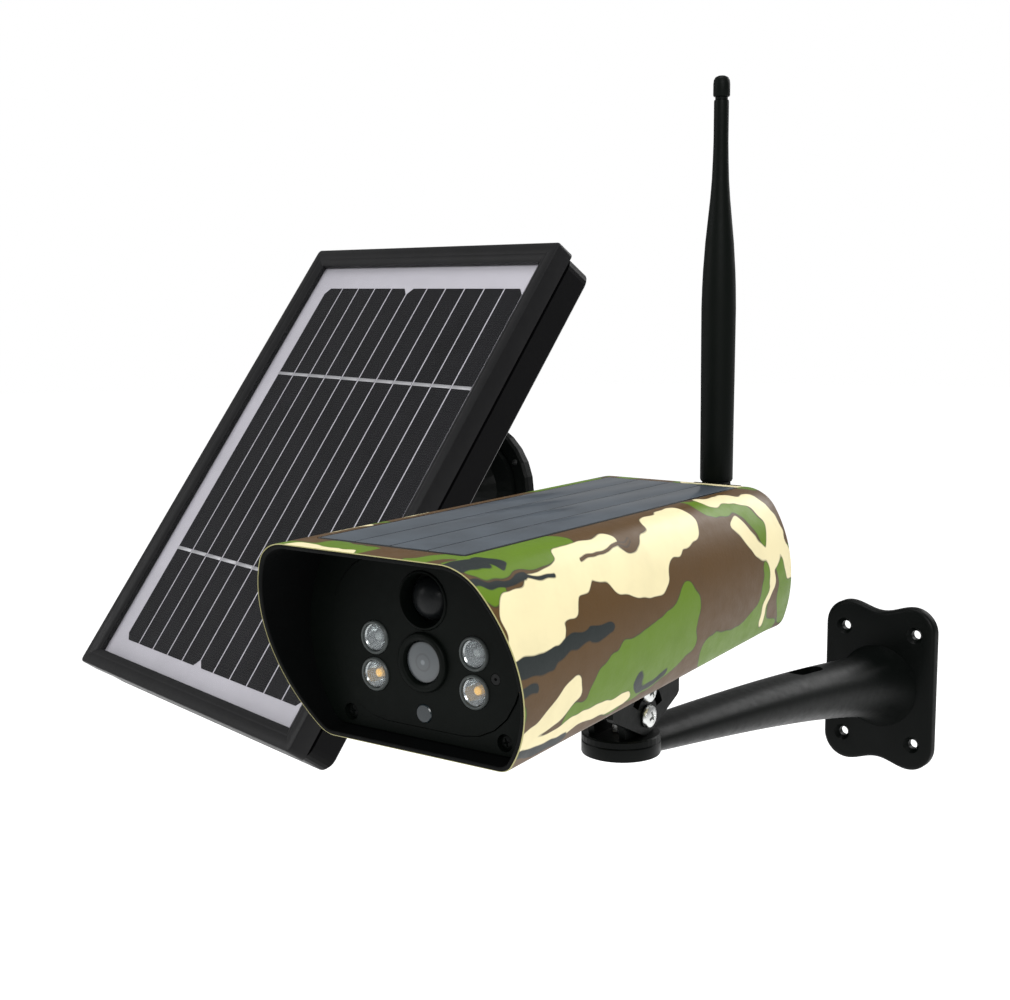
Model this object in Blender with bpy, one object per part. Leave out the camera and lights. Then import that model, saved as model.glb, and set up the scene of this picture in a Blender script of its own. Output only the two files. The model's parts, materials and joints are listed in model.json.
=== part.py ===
"""A solar-powered security camera: a camouflaged camera head with a small solar panel on its roof, a folding
antenna, a tilting and turning wall bracket, and a separate framed solar panel on a bracket of its own.

Metres, +Z up. The origin is the centre of the wall plate's back face, +Y points into the wall, and the camera
looks along -Y. Both brackets end on the wall plane, y = 0.
"""

import math

import bmesh
import bpy

# Clearances
GAP = 0.0004            # between two pieces that fit together
SEAT = 0.0003           # between two pieces that rest on each other

# Wall bracket
ARM_REACH = 0.256       # wall plane to the vertical turning axis
PLATE_WIDTH = 0.064
PLATE_HEIGHT = 0.091
PLATE_THICKNESS = 0.006
PLATE_CORNER = 0.0135
PLATE_WAIST = 0.004     # how far the top and bottom edges dip
PLATE_HOLE_X = 0.0415   # hole pattern
PLATE_HOLE_Z = 0.0615
PLATE_HOLE_RADIUS = 0.0026
ARM_ROOT_Z = -0.001     # arm's centre line where it meets the plate
ARM_ROOT_HALF = 0.0172  # half height and half width of the arm there
ARM_TIP_Z = 0.0275      # arm's centre line and half height at the disc
ARM_TIP_HALF = 0.0064
ARM_TIP_HALF_WIDTH = 0.0118
CABLE_BORE_RADIUS = 0.007
CABLE_BORE_Z = 0.011
CABLE_BORE_DEPTH = 0.108
CABLE_SLOT_LENGTH = 0.028
CABLE_SLOT_WIDTH = 0.009
DISC_RADIUS = 0.017
DISC_BOTTOM_Z = 0.0247
DISC_THICKNESS = 0.0057

# Swivel between the bracket and the head
PIVOT_Z = 0.0423        # height of the tilt axis
REST_PAN = math.radians(3.64)
YOKE_BASE = 0.003
EAR = 0.0032            # thickness of every ear
YOKE_EAR_INNER = 0.0059
YOKE_EAR_RADIUS = 0.0155
FOOT_EAR_LENGTH = 0.056
FOOT_BASE = 0.0025
FOOT_HUB_RADIUS = 0.0083
TILT_LIMIT = math.radians(25)
LOCK_RADIUS = 0.0108    # the lock screw's distance from the tilt axis
LOCK_SLOT_FROM = math.radians(-60)
LOCK_SLOT_TO = math.radians(74)
BOLT_RADIUS = 0.0020
SCREW_HEAD_RADIUS = 0.0050
LOCK_HEAD_RADIUS = 0.0048
NUT_RADIUS = 0.0042
NUT_HEIGHT = 0.0031

# Camera head, measured from the tilt axis
BARREL_RADIUS = 0.0555
BARREL_TOP = 0.0365     # flat above the barrel's centre
BARREL_BOTTOM = 0.0383  # flat below it
BARREL_TOP_CORNER = 0.016
BARREL_BOTTOM_CORNER = 0.008
BARREL_Z = 0.0570       # barrel's centre above the tilt axis
UNDERSIDE_RISE = 0.0145 # how much higher the underside is at the rear than at the hood's lower lip
UNDERSIDE_END_Y = 0.036 # from here back it is level
SHELL_WALL = 0.0016
SHELL_REAR_Y = 0.0470
FACE_Y = -0.1340        # plane of the front plate
HOOD_TOP = 0.0341       # how far the hood stands out at its top
HOOD_BOTTOM = 0.0067
ROOF_PANEL_WIDTH = 0.0646
ROOF_PANEL_FRONT_Y = -0.1525
ROOF_PANEL_REAR_Y = 0.0418
ROOF_PANEL_PROUD = 0.0002

# Front plate
BEZEL_RECESS = 0.0005
BEZEL_DEPTH = 0.0080
FACE_DEPTH = 0.0040
FACE_RADIUS = 0.0420
FACE_TOP = 0.0290
FACE_BOTTOM = 0.0308
FACE_CORNER = 0.0240
LED_X = 0.0220
LED_HIGH = -0.0012      # heights from the barrel's centre
LED_LOW = -0.0146
LED_RADIUS = 0.0061
LENS_Z = -0.0072
LENS_RADIUS = 0.0076
COLLAR_RADIUS = 0.0107
PIR_Z = 0.0148
PIR_RADIUS = 0.0106
SENSOR_Z = -0.0257
SENSOR_RADIUS = 0.0033
MICROPHONE = (0.0310, -0.0088)
MICROPHONE_RADIUS = 0.0019
CORNER_SCREW = (0.0343, -0.0306)

# Inside the head
SLED_THICKNESS = 0.0020
CELL_RADIUS = 0.0091
CELL_LENGTH = 0.0650
CELL_CLEARANCE = 0.0014 # between neighbouring cells
BOARD_THICKNESS = 0.0016
REAR_COVER_DEPTH = 0.0060
REAR_COVER_RECESS = 0.0010

# On the rear cover, as (x, height from the barrel's centre)
SPEAKER = (-0.020, 0.010)
POWER_BUTTON = (0.024, 0.006)
BUTTON_RADIUS = 0.0045
PORT = (-0.010, -0.0125)
PORT_WIDTH, PORT_HEIGHT, PORT_DEPTH = 0.030, 0.013, 0.0032
INLET = (0.018, -0.0125)
REAR_SCREW = (0.0343, -0.0160)

# Antenna
ANTENNA_X = 0.0130
ANTENNA_Z = 0.0840
ANTENNA_BACK = 0.0130   # fold axis behind the rear cover
ANTENNA_LENGTH = 0.1835 # fold axis to tip
KNUCKLE_RADIUS = 0.0080
KNUCKLE_HALF_WIDTH = 0.0108
TONGUE_HALF_WIDTH = 0.0042

# Separate solar panel
PANEL_WIDTH = 0.250
PANEL_HEIGHT = 0.318
PANEL_DEPTH = 0.031
PANEL_BORDER = 0.012    # width of the frame's lip
PANEL_FRAME_DEPTH = 0.0115
PANEL_BOX_INSET = 0.0008
PANEL_BOX_CORNER = 0.008
PANEL_BOX_WALL = 0.0022
GLASS_THICKNESS = 0.0030
LAMINATE_THICKNESS = 0.0012
PANEL_PAN_X = -0.2902
PANEL_PAN_Y = -0.0852
PANEL_AXIS_Z = 0.0875
PANEL_REST_PAN = math.radians(-11.5)
PANEL_REST_TILT = math.radians(-35.8)
PANEL_LINK = 0.025      # turning axis to tilt axis
PANEL_STANDOFF = 0.018  # tilt axis to the panel's back
PANEL_FLANGE_RADIUS = 0.044
PANEL_NECK_RADIUS = 0.0125
PANEL_LINK_HALF = 0.012 # half height of the link's barrel
PANEL_LUG_RADIUS = 0.008
PANEL_PIN_RADIUS = 0.003

FRONT_FACING = (math.pi / 2, 0, 0)  # local +Z to -Y, local +Y to +Z
BACK_FACING = (math.pi / 2, 0, math.pi)  # local +Z to +Y, local +Y to +Z
ALONG_X = (0, math.pi / 2, 0)       # local +Z to +X
ALONG_MINUS_X = (0, -math.pi / 2, 0)
UPRIGHT = (0, 0, 0)

FINISHES = {
    "camouflage": ((0.42, 0.40, 0.22, 1), 0.45, 0.0),
    "black plastic": ((0.012, 0.014, 0.013, 1), 0.45, 0.0),
    "black coating": ((0.014, 0.015, 0.015, 1), 0.38, 0.3),
    "rubber": ((0.018, 0.018, 0.018, 1), 0.75, 0.0),
    "glass": ((0.04, 0.045, 0.05, 1), 0.08, 0.0),
    "reflector": ((0.70, 0.72, 0.72, 1), 0.15, 1.0),
    "steel": ((0.62, 0.63, 0.62, 1), 0.30, 1.0),
    "circuit board": ((0.02, 0.12, 0.05, 1), 0.50, 0.0),
    "cell": ((0.03, 0.20, 0.36, 1), 0.40, 0.0),
    "solar cell": ((0.030, 0.032, 0.040, 1), 0.20, 0.0),
}


# Building blocks

def clear_scene():
    for old in list(bpy.data.objects):
        bpy.data.objects.remove(old, do_unlink=True)


def finish(name):
    """The named material, made when it is first asked for."""
    if name in bpy.data.materials:
        return bpy.data.materials[name]
    colour, roughness, metallic = FINISHES[name]
    made = bpy.data.materials.new(name)
    made.use_nodes = True
    shader = made.node_tree.nodes["Principled BSDF"]
    shader.inputs["Base Color"].default_value = colour
    shader.inputs["Roughness"].default_value = roughness
    shader.inputs["Metallic"].default_value = metallic
    return made


def empty(name, parent, location, rotation=UPRIGHT):
    made = bpy.data.objects.new(name, None)
    made.parent = parent
    made.location = location
    made.rotation_euler = rotation
    bpy.context.scene.collection.objects.link(made)
    return made


def place(name, shape, look, parent, location=(0, 0, 0), rotation=UPRIGHT):
    """An object from a bmesh, shaded smooth between its sharp edges."""
    bmesh.ops.recalc_face_normals(shape, faces=shape.faces)
    mesh = bpy.data.meshes.new(name)
    shape.to_mesh(mesh)
    shape.free()
    mesh.shade_smooth()
    mesh.set_sharp_from_angle(angle=math.radians(32))
    made = bpy.data.objects.new(name, mesh)
    made.data.materials.append(finish(look))
    made.parent = parent
    made.location = location
    made.rotation_euler = rotation
    bpy.context.scene.collection.objects.link(made)
    return made


def combine(target, helper, operation):
    """Cuts a helper from a piece, or joins it on, and hides the helper."""
    helper.hide_render = True
    helper.display_type = "WIRE"
    step = target.modifiers.new(f"{operation.lower()} {helper.name}", "BOOLEAN")
    step.operation = operation
    step.solver = "EXACT"
    step.object = helper


def cut(target, shape, location=(0, 0, 0), rotation=UPRIGHT):
    helper = place(f"{target.name}.cut", shape, "steel", target.parent, location, rotation)
    combine(target, helper, "DIFFERENCE")


def join(target, shape, location=(0, 0, 0), rotation=UPRIGHT):
    helper = place(f"{target.name}.join", shape, "steel", target.parent, location, rotation)
    combine(target, helper, "UNION")


def skin(rings, closed=False):
    """A mesh through rings of equal length. Its ends are capped, or joined to each other when closed."""
    shape = bmesh.new()
    rows = [[shape.verts.new(point) for point in ring] for ring in rings]
    pairs = list(zip(rows, rows[1:]))
    if closed:
        pairs.append((rows[-1], rows[0]))
    for low, high in pairs:
        count = max(len(low), len(high))
        for i in range(count):
            j = (i + 1) % count
            corners = [low[i % len(low)], low[j % len(low)], high[j % len(high)], high[i % len(high)]]
            shape.faces.new(list(dict.fromkeys(corners)))
    if not closed:
        for row in (rows[0], rows[-1]):
            if len(row) > 2:
                shape.faces.new(row)
    return shape


def extrusion(outline, low, high):
    """An outline in the local XY plane, drawn out along Z."""
    return skin([[(x, y, z) for x, y in outline] for z in (low, high)])


def turned(profile, steps=24):
    """A solid of revolution about local Z. The profile is (radius, height) pairs, from one end to the other."""
    return skin([ring_at(radius, height, steps) for radius, height in profile])


def turned_ring(profile, steps=24):
    """The same for a closed profile that stays off the axis."""
    return skin([ring_at(radius, height, steps) for radius, height in profile], closed=True)


def ring_at(radius, height, steps):
    if radius == 0:
        return [(0, 0, height)]
    return [(x, y, height) for x, y in circle(radius, steps)]


def rod(radius, low, high, steps=16):
    return turned([(radius, low), (radius, high)], steps)


def screw(head_radius, head_height, shank_radius, shank_length, steps=12):
    """A pan-head screw: its shank runs down local -Z from the seat at zero, its head stands above."""
    slot = head_height * 0.35
    return turned([
        (0, -shank_length), (shank_radius, -shank_length), (shank_radius, 0), (head_radius, 0),
        (head_radius, head_height * 0.55), (head_radius * 0.72, head_height), (head_radius * 0.30, head_height),
        (0, head_height - slot),
    ], steps)


def nut(name, parent, location, rotation):
    """A hexagonal nut that stands on local zero."""
    made = place(name, extrusion(circle(NUT_RADIUS, 6), 0, NUT_HEIGHT), "steel", parent, location, rotation)
    cut(made, rod(BOLT_RADIUS + GAP, -0.001, NUT_HEIGHT + 0.001, 12), location, rotation)


def block(width, depth, height):
    """A box centred on local X and Y that stands on local zero."""
    return extrusion(rounded_rectangle(width, depth, 0), 0, height)


def arc(centre, radius, start, end, steps):
    """Points along an arc, both ends included."""
    angles = [start + (end - start) * i / steps for i in range(steps + 1)]
    return [(centre[0] + radius * math.cos(a), centre[1] + radius * math.sin(a)) for a in angles]


def circle(radius, steps, centre=(0, 0)):
    return arc(centre, radius, 0, 2 * math.pi, steps)[:-1]


def without_repeats(points):
    kept = []
    for point in points:
        if not kept or math.dist(point, kept[-1]) > 1e-6:
            kept.append(point)
    if math.dist(kept[0], kept[-1]) < 1e-6:
        kept.pop()
    return kept


def rounded_rectangle(width, height, radius, steps=5):
    x, y = width / 2 - radius, height / 2 - radius
    if radius == 0:
        return [(x, -y), (x, y), (-x, y), (-x, -y)]
    quarter = math.pi / 2
    corners = ((x, -y, -1), (x, y, 0), (-x, y, 1), (-x, -y, 2))
    points = [arc((cx, cy), radius, n * quarter, (n + 1) * quarter, steps) for cx, cy, n in corners]
    return without_repeats([point for corner in points for point in corner])


def flattened_circle(radius, top, bottom, top_corner, bottom_corner, side_steps=14):
    """A circle cut by two level flats, with round corners."""
    top_x = math.sqrt((radius - top_corner) ** 2 - (top - top_corner) ** 2)
    bottom_x = math.sqrt((radius - bottom_corner) ** 2 - (bottom - bottom_corner) ** 2)
    top_angle = math.atan2(top - top_corner, top_x)
    bottom_angle = -math.atan2(bottom - bottom_corner, bottom_x)
    right = arc((bottom_x, bottom_corner - bottom), bottom_corner, -math.pi / 2, bottom_angle, 4)
    right += arc((0, 0), radius, bottom_angle, top_angle, side_steps)
    right += arc((top_x, top - top_corner), top_corner, top_angle, math.pi / 2, 6)
    return without_repeats(right + [(-x, y) for x, y in reversed(right)])


def barrel_outline(inset=0.0, rise=0.0):
    """The head's cross-section, from its front, drawn in by an inset, where the underside has risen so far."""
    return flattened_circle(
        BARREL_RADIUS - inset, BARREL_TOP - inset, BARREL_BOTTOM - inset - rise,
        BARREL_TOP_CORNER - inset, BARREL_BOTTOM_CORNER - inset,
    )


def underside_slope():
    return math.atan2(UNDERSIDE_RISE, UNDERSIDE_END_Y - FACE_Y + HOOD_BOTTOM)


def underside_rise(y):
    return (y - FACE_Y + HOOD_BOTTOM) * math.tan(underside_slope())


def on_underside(y, height):
    """The head's (0, y, z) for a point this far along the underside and this high above it."""
    slope = underside_slope()
    return (0, y * math.cos(slope) - height * math.sin(slope),
            BARREL_Z - BARREL_BOTTOM + underside_rise(0) + y * math.sin(slope) + height * math.cos(slope))


def face_outline(inset=0.0):
    return flattened_circle(
        FACE_RADIUS - inset, FACE_TOP - inset, FACE_BOTTOM - inset, FACE_CORNER - inset, FACE_CORNER - inset, 8,
    )


# Wall bracket

def plate_outline():
    """A rounded rectangle whose top and bottom edges dip in a smooth wave between the corner lobes."""
    lobe_x = PLATE_WIDTH / 2 - PLATE_CORNER
    lobe_z = PLATE_HEIGHT / 2 - PLATE_CORNER
    top = arc((lobe_x, lobe_z), PLATE_CORNER, 0, math.pi / 2, 6)
    steps = 12
    for i in range(1, steps):
        x = lobe_x - 2 * lobe_x * i / steps
        dip = PLATE_WAIST * math.cos(math.pi * x / (2 * lobe_x)) ** 2
        top.append((x, PLATE_HEIGHT / 2 - dip))
    top += arc((-lobe_x, lobe_z), PLATE_CORNER, math.pi / 2, math.pi, 6)
    return top + [(-x, -z) for x, z in top]


def arm_ring(share):
    """The arm's cross-section at a share of the way from the disc to the plate."""
    steps = 24
    tip_y = DISC_RADIUS * 0.55 - ARM_REACH
    y = tip_y * (1 - share) - PLATE_THICKNESS * 0.5 * share
    ease = share * (0.67 + 0.33 * share * share)
    z = ARM_TIP_Z + (ARM_ROOT_Z - ARM_TIP_Z) * ease
    flare = 0.0075 * math.exp(-(1 - share) * 22)
    half_height = ARM_TIP_HALF + (ARM_ROOT_HALF - ARM_TIP_HALF) * share + flare
    half_width = ARM_TIP_HALF_WIDTH + (ARM_ROOT_HALF - ARM_TIP_HALF_WIDTH) * share + flare
    return [(half_width * cx, y, z + half_height * cz) for cx, cz in circle(1, steps)]


def wall_arm():
    """Wall plate, hollow arm and the disc at its tip, cast in one piece."""
    rim = 0.0016
    plate = plate_outline()
    shrink = 1 - 2 * rim / PLATE_WIDTH
    levels = ((0, 1.0), (PLATE_THICKNESS - rim, 1.0), (PLATE_THICKNESS, shrink))
    rings = [[(x * scale, z * scale, depth) for x, z in plate] for depth, scale in levels]
    arm = place("wall_arm", skin(rings), "black coating", None, (0, 0, 0), FRONT_FACING)
    shares = [0, 0.08, 0.18, 0.30, 0.42, 0.55, 0.68, 0.79, 0.87, 0.93, 0.97, 1]
    join(arm, skin([arm_ring(share) for share in shares]))
    disc_top = DISC_BOTTOM_Z + DISC_THICKNESS
    edge = 0.0007
    join(arm, turned([
        (0, DISC_BOTTOM_Z), (DISC_RADIUS - edge, DISC_BOTTOM_Z), (DISC_RADIUS, DISC_BOTTOM_Z + edge),
        (DISC_RADIUS, disc_top + 0.0010), (0, disc_top + 0.0010),
    ], 40), (0, -ARM_REACH, 0))
    for x in (-PLATE_HOLE_X / 2, PLATE_HOLE_X / 2):
        for z in (-PLATE_HOLE_Z / 2, PLATE_HOLE_Z / 2):
            hole = turned([
                (PLATE_HOLE_RADIUS, -0.001), (PLATE_HOLE_RADIUS, PLATE_THICKNESS * 0.6),
                (PLATE_HOLE_RADIUS * 1.9, PLATE_THICKNESS + 0.0004),
            ], 14)
            cut(arm, hole, (x, 0, z), FRONT_FACING)
    bore = rod(CABLE_BORE_RADIUS, -0.001, CABLE_BORE_DEPTH, 16)
    cut(arm, bore, (0, 0, CABLE_BORE_Z), FRONT_FACING)
    slot = extrusion(rounded_rectangle(CABLE_SLOT_WIDTH, CABLE_SLOT_LENGTH, CABLE_SLOT_WIDTH * 0.49, 4), 0, 0.04)
    cut(arm, slot, (0, CABLE_SLOT_LENGTH / 2 + 0.0030 - CABLE_BORE_DEPTH, CABLE_BORE_Z))
    # Everything above the disc belongs to the turning yoke.
    cut(arm, rod(DISC_RADIUS + 0.0014, disc_top, disc_top + 0.03, 36), (0, -ARM_REACH, 0))
    seat, clear = DISC_BOTTOM_Z + 0.0022, BOLT_RADIUS + GAP + 0.0005
    wide = SCREW_HEAD_RADIUS + 0.0008
    counterbore = [(0, 0.010), (wide, 0.010), (wide, seat), (clear, seat), (clear, disc_top + 0.002), (0, disc_top + 0.002)]
    cut(arm, turned(counterbore, 20), (0, -ARM_REACH, 0))


# Swivel. Its pieces are placed from the tilt axis.

def swivel_yoke(pan):
    """A round foot plate with two ears for the tilt bolt and the lock screw."""
    top = DISC_BOTTOM_Z + DISC_THICKNESS + SEAT + YOKE_BASE - PIVOT_Z
    base = turned([(0, top - YOKE_BASE), (DISC_RADIUS, top - YOKE_BASE), (DISC_RADIUS, top - 0.0006),
                   (DISC_RADIUS - 0.0006, top), (0, top)], 40)
    yoke = place("swivel_yoke", base, "black coating", pan)
    side = 0.0108
    outline = arc((0, 0), YOKE_EAR_RADIUS, math.radians(15), math.radians(165), 16)
    outline += [(-side, top - YOKE_BASE * 0.5), (side, top - YOKE_BASE * 0.5)]
    for x in (YOKE_EAR_INNER, -YOKE_EAR_INNER - EAR):
        # The outline's first axis is Y and its second is Z.
        ear = skin([[(x + width, y, z) for y, z in outline] for width in (0, EAR)])
        join(yoke, ear)
    for height in (0, LOCK_RADIUS):
        cut(yoke, rod(BOLT_RADIUS + GAP, -0.03, 0.03, 12), (0, 0, height), ALONG_X)
    cut(yoke, rod(BOLT_RADIUS + GAP, top - YOKE_BASE - 0.002, top + 0.002, 12))


def swivel_fasteners(pan):
    """The tilt bolt and its nut, the lock screw, and the bolt that the head turns on."""
    side = YOKE_EAR_INNER + EAR + SEAT + EAR + SEAT
    for name, height, length in (("tilt_bolt", 0, 2 * side + 0.006), ("lock_screw", LOCK_RADIUS, side - 0.003)):
        place(name, screw(LOCK_HEAD_RADIUS if height else SCREW_HEAD_RADIUS, 0.0026, BOLT_RADIUS, length), "steel",
              pan, (side, 0, height), ALONG_X)
    nut("tilt_nut", pan, (-side, 0, 0), ALONG_MINUS_X)
    seat = DISC_BOTTOM_Z + 0.0022 - PIVOT_Z
    nut_seat = DISC_BOTTOM_Z + DISC_THICKNESS + SEAT + YOKE_BASE + SEAT - PIVOT_Z
    bolt_top = -BOLT_RADIUS - 0.0012
    place("pan_bolt", screw(SCREW_HEAD_RADIUS, 0.0022, BOLT_RADIUS, bolt_top - seat + SEAT), "steel", pan,
          (0, 0, seat - SEAT), (math.pi, 0, 0))
    nut("pan_nut", pan, (0, 0, nut_seat), UPRIGHT)


# Camera head. Its pieces are placed from the tilt axis too, and tilt with it.

def mount_foot(head):
    """The head's half of the swivel: a flat under the shell with two slotted ears."""
    slope = underside_slope()
    base = extrusion(rounded_rectangle(0.0330, FOOT_EAR_LENGTH, 0.004), -SEAT - FOOT_BASE, -SEAT)
    foot = place("mount_foot", base, "black coating", head, on_underside(0, 0), (slope, 0, 0))
    half = FOOT_EAR_LENGTH / 2
    lean = TILT_LIMIT
    hub = arc((0, 0), FOOT_HUB_RADIUS, -math.pi / 2 - lean, -math.pi / 2 + lean, 8)
    start_y, start_z = hub[-1]
    edge_z = start_z + (half - 0.0015 - start_y) * math.tan(lean)
    rear, front = (on_underside(y, -SEAT - FOOT_BASE * 0.5)[1:] for y in (half - 0.0003, 0.0003 - half))
    outline = hub + [(rear[0] - 0.0015, edge_z), (rear[0], edge_z + 0.0015), rear]
    outline += [front, (front[0], edge_z + 0.0015), (front[0] + 0.0015, edge_z)]
    inner = YOKE_EAR_INNER + EAR + SEAT
    slot = arc((0, 0), LOCK_RADIUS + BOLT_RADIUS + GAP, math.pi / 2 - LOCK_SLOT_TO, math.pi / 2 - LOCK_SLOT_FROM, 18)
    slot += arc((0, 0), LOCK_RADIUS - BOLT_RADIUS - GAP, math.pi / 2 - LOCK_SLOT_FROM, math.pi / 2 - LOCK_SLOT_TO, 14)
    for x in (inner, -inner - EAR):
        join(foot, skin([[(x + width, y, z) for y, z in outline] for width in (0, EAR)]))
    cut(foot, skin([[(x, y, z) for y, z in slot] for x in (-0.03, 0.03)]))
    cut(foot, rod(BOLT_RADIUS + GAP, -0.03, 0.03, 12), (0, 0, 0), ALONG_X)
    for name, y in (("foot_screw_front", -0.022), ("foot_screw_rear", 0.022)):
        cut(foot, rod(BOLT_RADIUS + GAP, -0.006, 0.002, 10), on_underside(y, 0), (slope, 0, 0))
        place(name, screw(0.0036, 0.0020, BOLT_RADIUS, 0.0100), "steel", head,
              on_underside(y, -FOOT_BASE - 2 * SEAT), (math.pi + slope, 0, 0))


def hood_front(z):
    """How far forward the hood's slanted edge reaches at a height from the barrel's centre."""
    share = (BARREL_TOP - z) / (BARREL_TOP + BARREL_BOTTOM)
    return FACE_Y - HOOD_TOP + (HOOD_TOP - HOOD_BOTTOM) * share


def outer_shell(head):
    """The sheet-metal sleeve that is also the hood, with a window for the roof panel."""
    outer, inner = barrel_outline(0, UNDERSIDE_RISE), barrel_outline(SHELL_WALL, UNDERSIDE_RISE)
    rings = [
        [(x, hood_front(z), z) for x, z in barrel_outline()],
        [(x, UNDERSIDE_END_Y, z) for x, z in outer],
        [(x, SHELL_REAR_Y, z) for x, z in outer],
        [(x, SHELL_REAR_Y, z) for x, z in inner],
        [(x, UNDERSIDE_END_Y, z) for x, z in inner],
        [(x, hood_front(z), z) for x, z in barrel_outline(SHELL_WALL)],
    ]
    shell = place("outer_shell", skin(rings, closed=True), "camouflage", head, (0, 0, BARREL_Z))
    length = ROOF_PANEL_REAR_Y - ROOF_PANEL_FRONT_Y
    window = rounded_rectangle(ROOF_PANEL_WIDTH + 2 * GAP, length + 2 * GAP, 0.0020, 3)
    middle = (ROOF_PANEL_REAR_Y + ROOF_PANEL_FRONT_Y) / 2
    cut(shell, extrusion(window, BARREL_TOP - 0.004, BARREL_TOP + 0.004), (0, middle, BARREL_Z))
    for y in (-0.022, 0.022):
        cut(shell, rod(BOLT_RADIUS + GAP, -0.003, 0.005, 10), on_underside(y, 0), (underside_slope(), 0, 0))


def roof_panel(head):
    """The laminate in the shell's window and the gasket frame it is bonded to."""
    length = ROOF_PANEL_REAR_Y - ROOF_PANEL_FRONT_Y
    middle = (ROOF_PANEL_REAR_Y + ROOF_PANEL_FRONT_Y) / 2
    top = BARREL_Z + BARREL_TOP + ROOF_PANEL_PROUD
    sheet = extrusion(rounded_rectangle(ROOF_PANEL_WIDTH, length, 0.0016, 3), -SHELL_WALL - ROOF_PANEL_PROUD, 0)
    place("roof_solar_panel", sheet, "solar cell", head, (0, middle, top))
    below = BARREL_TOP - SHELL_WALL - SEAT
    seal_front = FACE_Y + BEZEL_DEPTH + SEAT
    seal_rear = rear_cover_front() - 0.0012 - 2 * SEAT
    seal_length, seal_y = seal_rear - seal_front, (seal_rear + seal_front) / 2
    frame = extrusion(rounded_rectangle(ROOF_PANEL_WIDTH + 0.002, seal_length, 0.002, 2), below - 0.0016, below)
    gasket = place("roof_panel_gasket", frame, "rubber", head, (0, seal_y, BARREL_Z))
    hole = rounded_rectangle(ROOF_PANEL_WIDTH - 0.012, seal_length - 0.012, 0.002, 2)
    cut(gasket, extrusion(hole, below - 0.004, below + 0.002), (0, seal_y, BARREL_Z))


def front_plates(head, front):
    """The black bezel in the hood and the inner face plate let into it."""
    depth = -BEZEL_DEPTH
    outline = barrel_outline(SHELL_WALL + GAP, underside_rise(FACE_Y + BEZEL_DEPTH))
    bezel = place("front_bezel", extrusion(outline, depth, -BEZEL_RECESS), "black plastic", head, front, FRONT_FACING)
    cut(bezel, extrusion(face_outline(0.003), depth - 0.002, 0.002), front, FRONT_FACING)
    cut(bezel, extrusion(face_outline(-GAP), -FACE_DEPTH - SEAT, 0.002), front, FRONT_FACING)
    for x in (CORNER_SCREW[0], -CORNER_SCREW[0]):
        at = (x, FACE_Y, BARREL_Z + CORNER_SCREW[1])
        cut(bezel, rod(0.0032, -0.0035, 0.002, 16), at, FRONT_FACING)
        cut(bezel, rod(0.0017, -0.02, 0.002, 8), at, FRONT_FACING)
    face = place("face_plate", extrusion(face_outline(), -FACE_DEPTH, 0), "black plastic", head, front, FRONT_FACING)
    holes = [(x, z, LED_RADIUS + GAP / 2) for x in (-LED_X, LED_X) for z in (LED_HIGH, LED_LOW)]
    holes += [(0, LENS_Z, COLLAR_RADIUS + GAP / 2), (0, PIR_Z, PIR_RADIUS + GAP / 2)]
    holes += [(0, SENSOR_Z, SENSOR_RADIUS + GAP / 2), (*MICROPHONE, MICROPHONE_RADIUS + GAP / 2)]
    for x, z, radius in holes:
        cut(face, rod(radius, -0.01, 0.004, 20), (x, FACE_Y, BARREL_Z + z), FRONT_FACING)


def lamps(head):
    """Four reflector cups, and behind them the board that carries their emitters."""
    back = -0.0080
    reflector = [
        (0.0020, back), (LED_RADIUS, back), (LED_RADIUS, 0.0006), (LED_RADIUS - 0.0008, 0.0006),
        (LED_RADIUS - 0.0016, -0.0028), (0.0020, -0.0062),
    ]
    spots = {"left_high": (-LED_X, LED_HIGH), "left_low": (-LED_X, LED_LOW),
             "right_high": (LED_X, LED_HIGH), "right_low": (LED_X, LED_LOW)}
    board_front = back - SEAT
    sheet = extrusion(rounded_rectangle(0.064, 0.030, 0.003, 3), board_front - BOARD_THICKNESS, board_front)
    centre = (0, FACE_Y, BARREL_Z + (LED_HIGH + LED_LOW) / 2)
    board = place("led_board", sheet, "circuit board", head, centre, FRONT_FACING)
    for name, (x, z) in spots.items():
        at = (x, FACE_Y, BARREL_Z + z)
        place(f"led_reflector_{name}", turned_ring(reflector, 16), "reflector", head, at, FRONT_FACING)
        join(board, rod(0.0015, board_front - BOARD_THICKNESS / 2, -0.0060, 12), at, FRONT_FACING)
    cut(board, rod(0.0084, -0.02, 0.0, 20), (0, FACE_Y, BARREL_Z + LENS_Z), FRONT_FACING)


def lens(head):
    """The camera module: a collar in the face plate, its window, and the lens barrel with its sensor board."""
    at = (0, FACE_Y, BARREL_Z + LENS_Z)
    inner = LENS_RADIUS + GAP / 2
    collar = [(inner, -0.0040), (COLLAR_RADIUS, -0.0040), (COLLAR_RADIUS, 0.0010), (COLLAR_RADIUS - 0.0008, 0.0018),
              (inner + 0.0012, 0.0018), (inner, 0.0008)]
    place("lens_collar", turned_ring(collar, 24), "black plastic", head, at, FRONT_FACING)
    window = [(0, -0.0014), (LENS_RADIUS, -0.0014), (LENS_RADIUS, -0.0002), (LENS_RADIUS * 0.6, 0.0003), (0, 0.0005)]
    place("lens_window", turned(window, 24), "glass", head, at, FRONT_FACING)
    front = -0.0014 - SEAT
    barrel = [(0, -0.0200), (0.0100, -0.0200), (0.0100, -0.0140), (0.0070, -0.0138), (0.0070, front),
              (0.0040, front), (0.0030, front - 0.0015), (0, front - 0.0018)]
    place("lens_barrel", turned(barrel, 20), "black plastic", head, at, FRONT_FACING)
    board = extrusion(rounded_rectangle(0.030, 0.030, 0.002, 2), -0.0200 - SEAT - BOARD_THICKNESS, -0.0200 - SEAT)
    place("sensor_board", board, "circuit board", head, at, FRONT_FACING)


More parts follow.
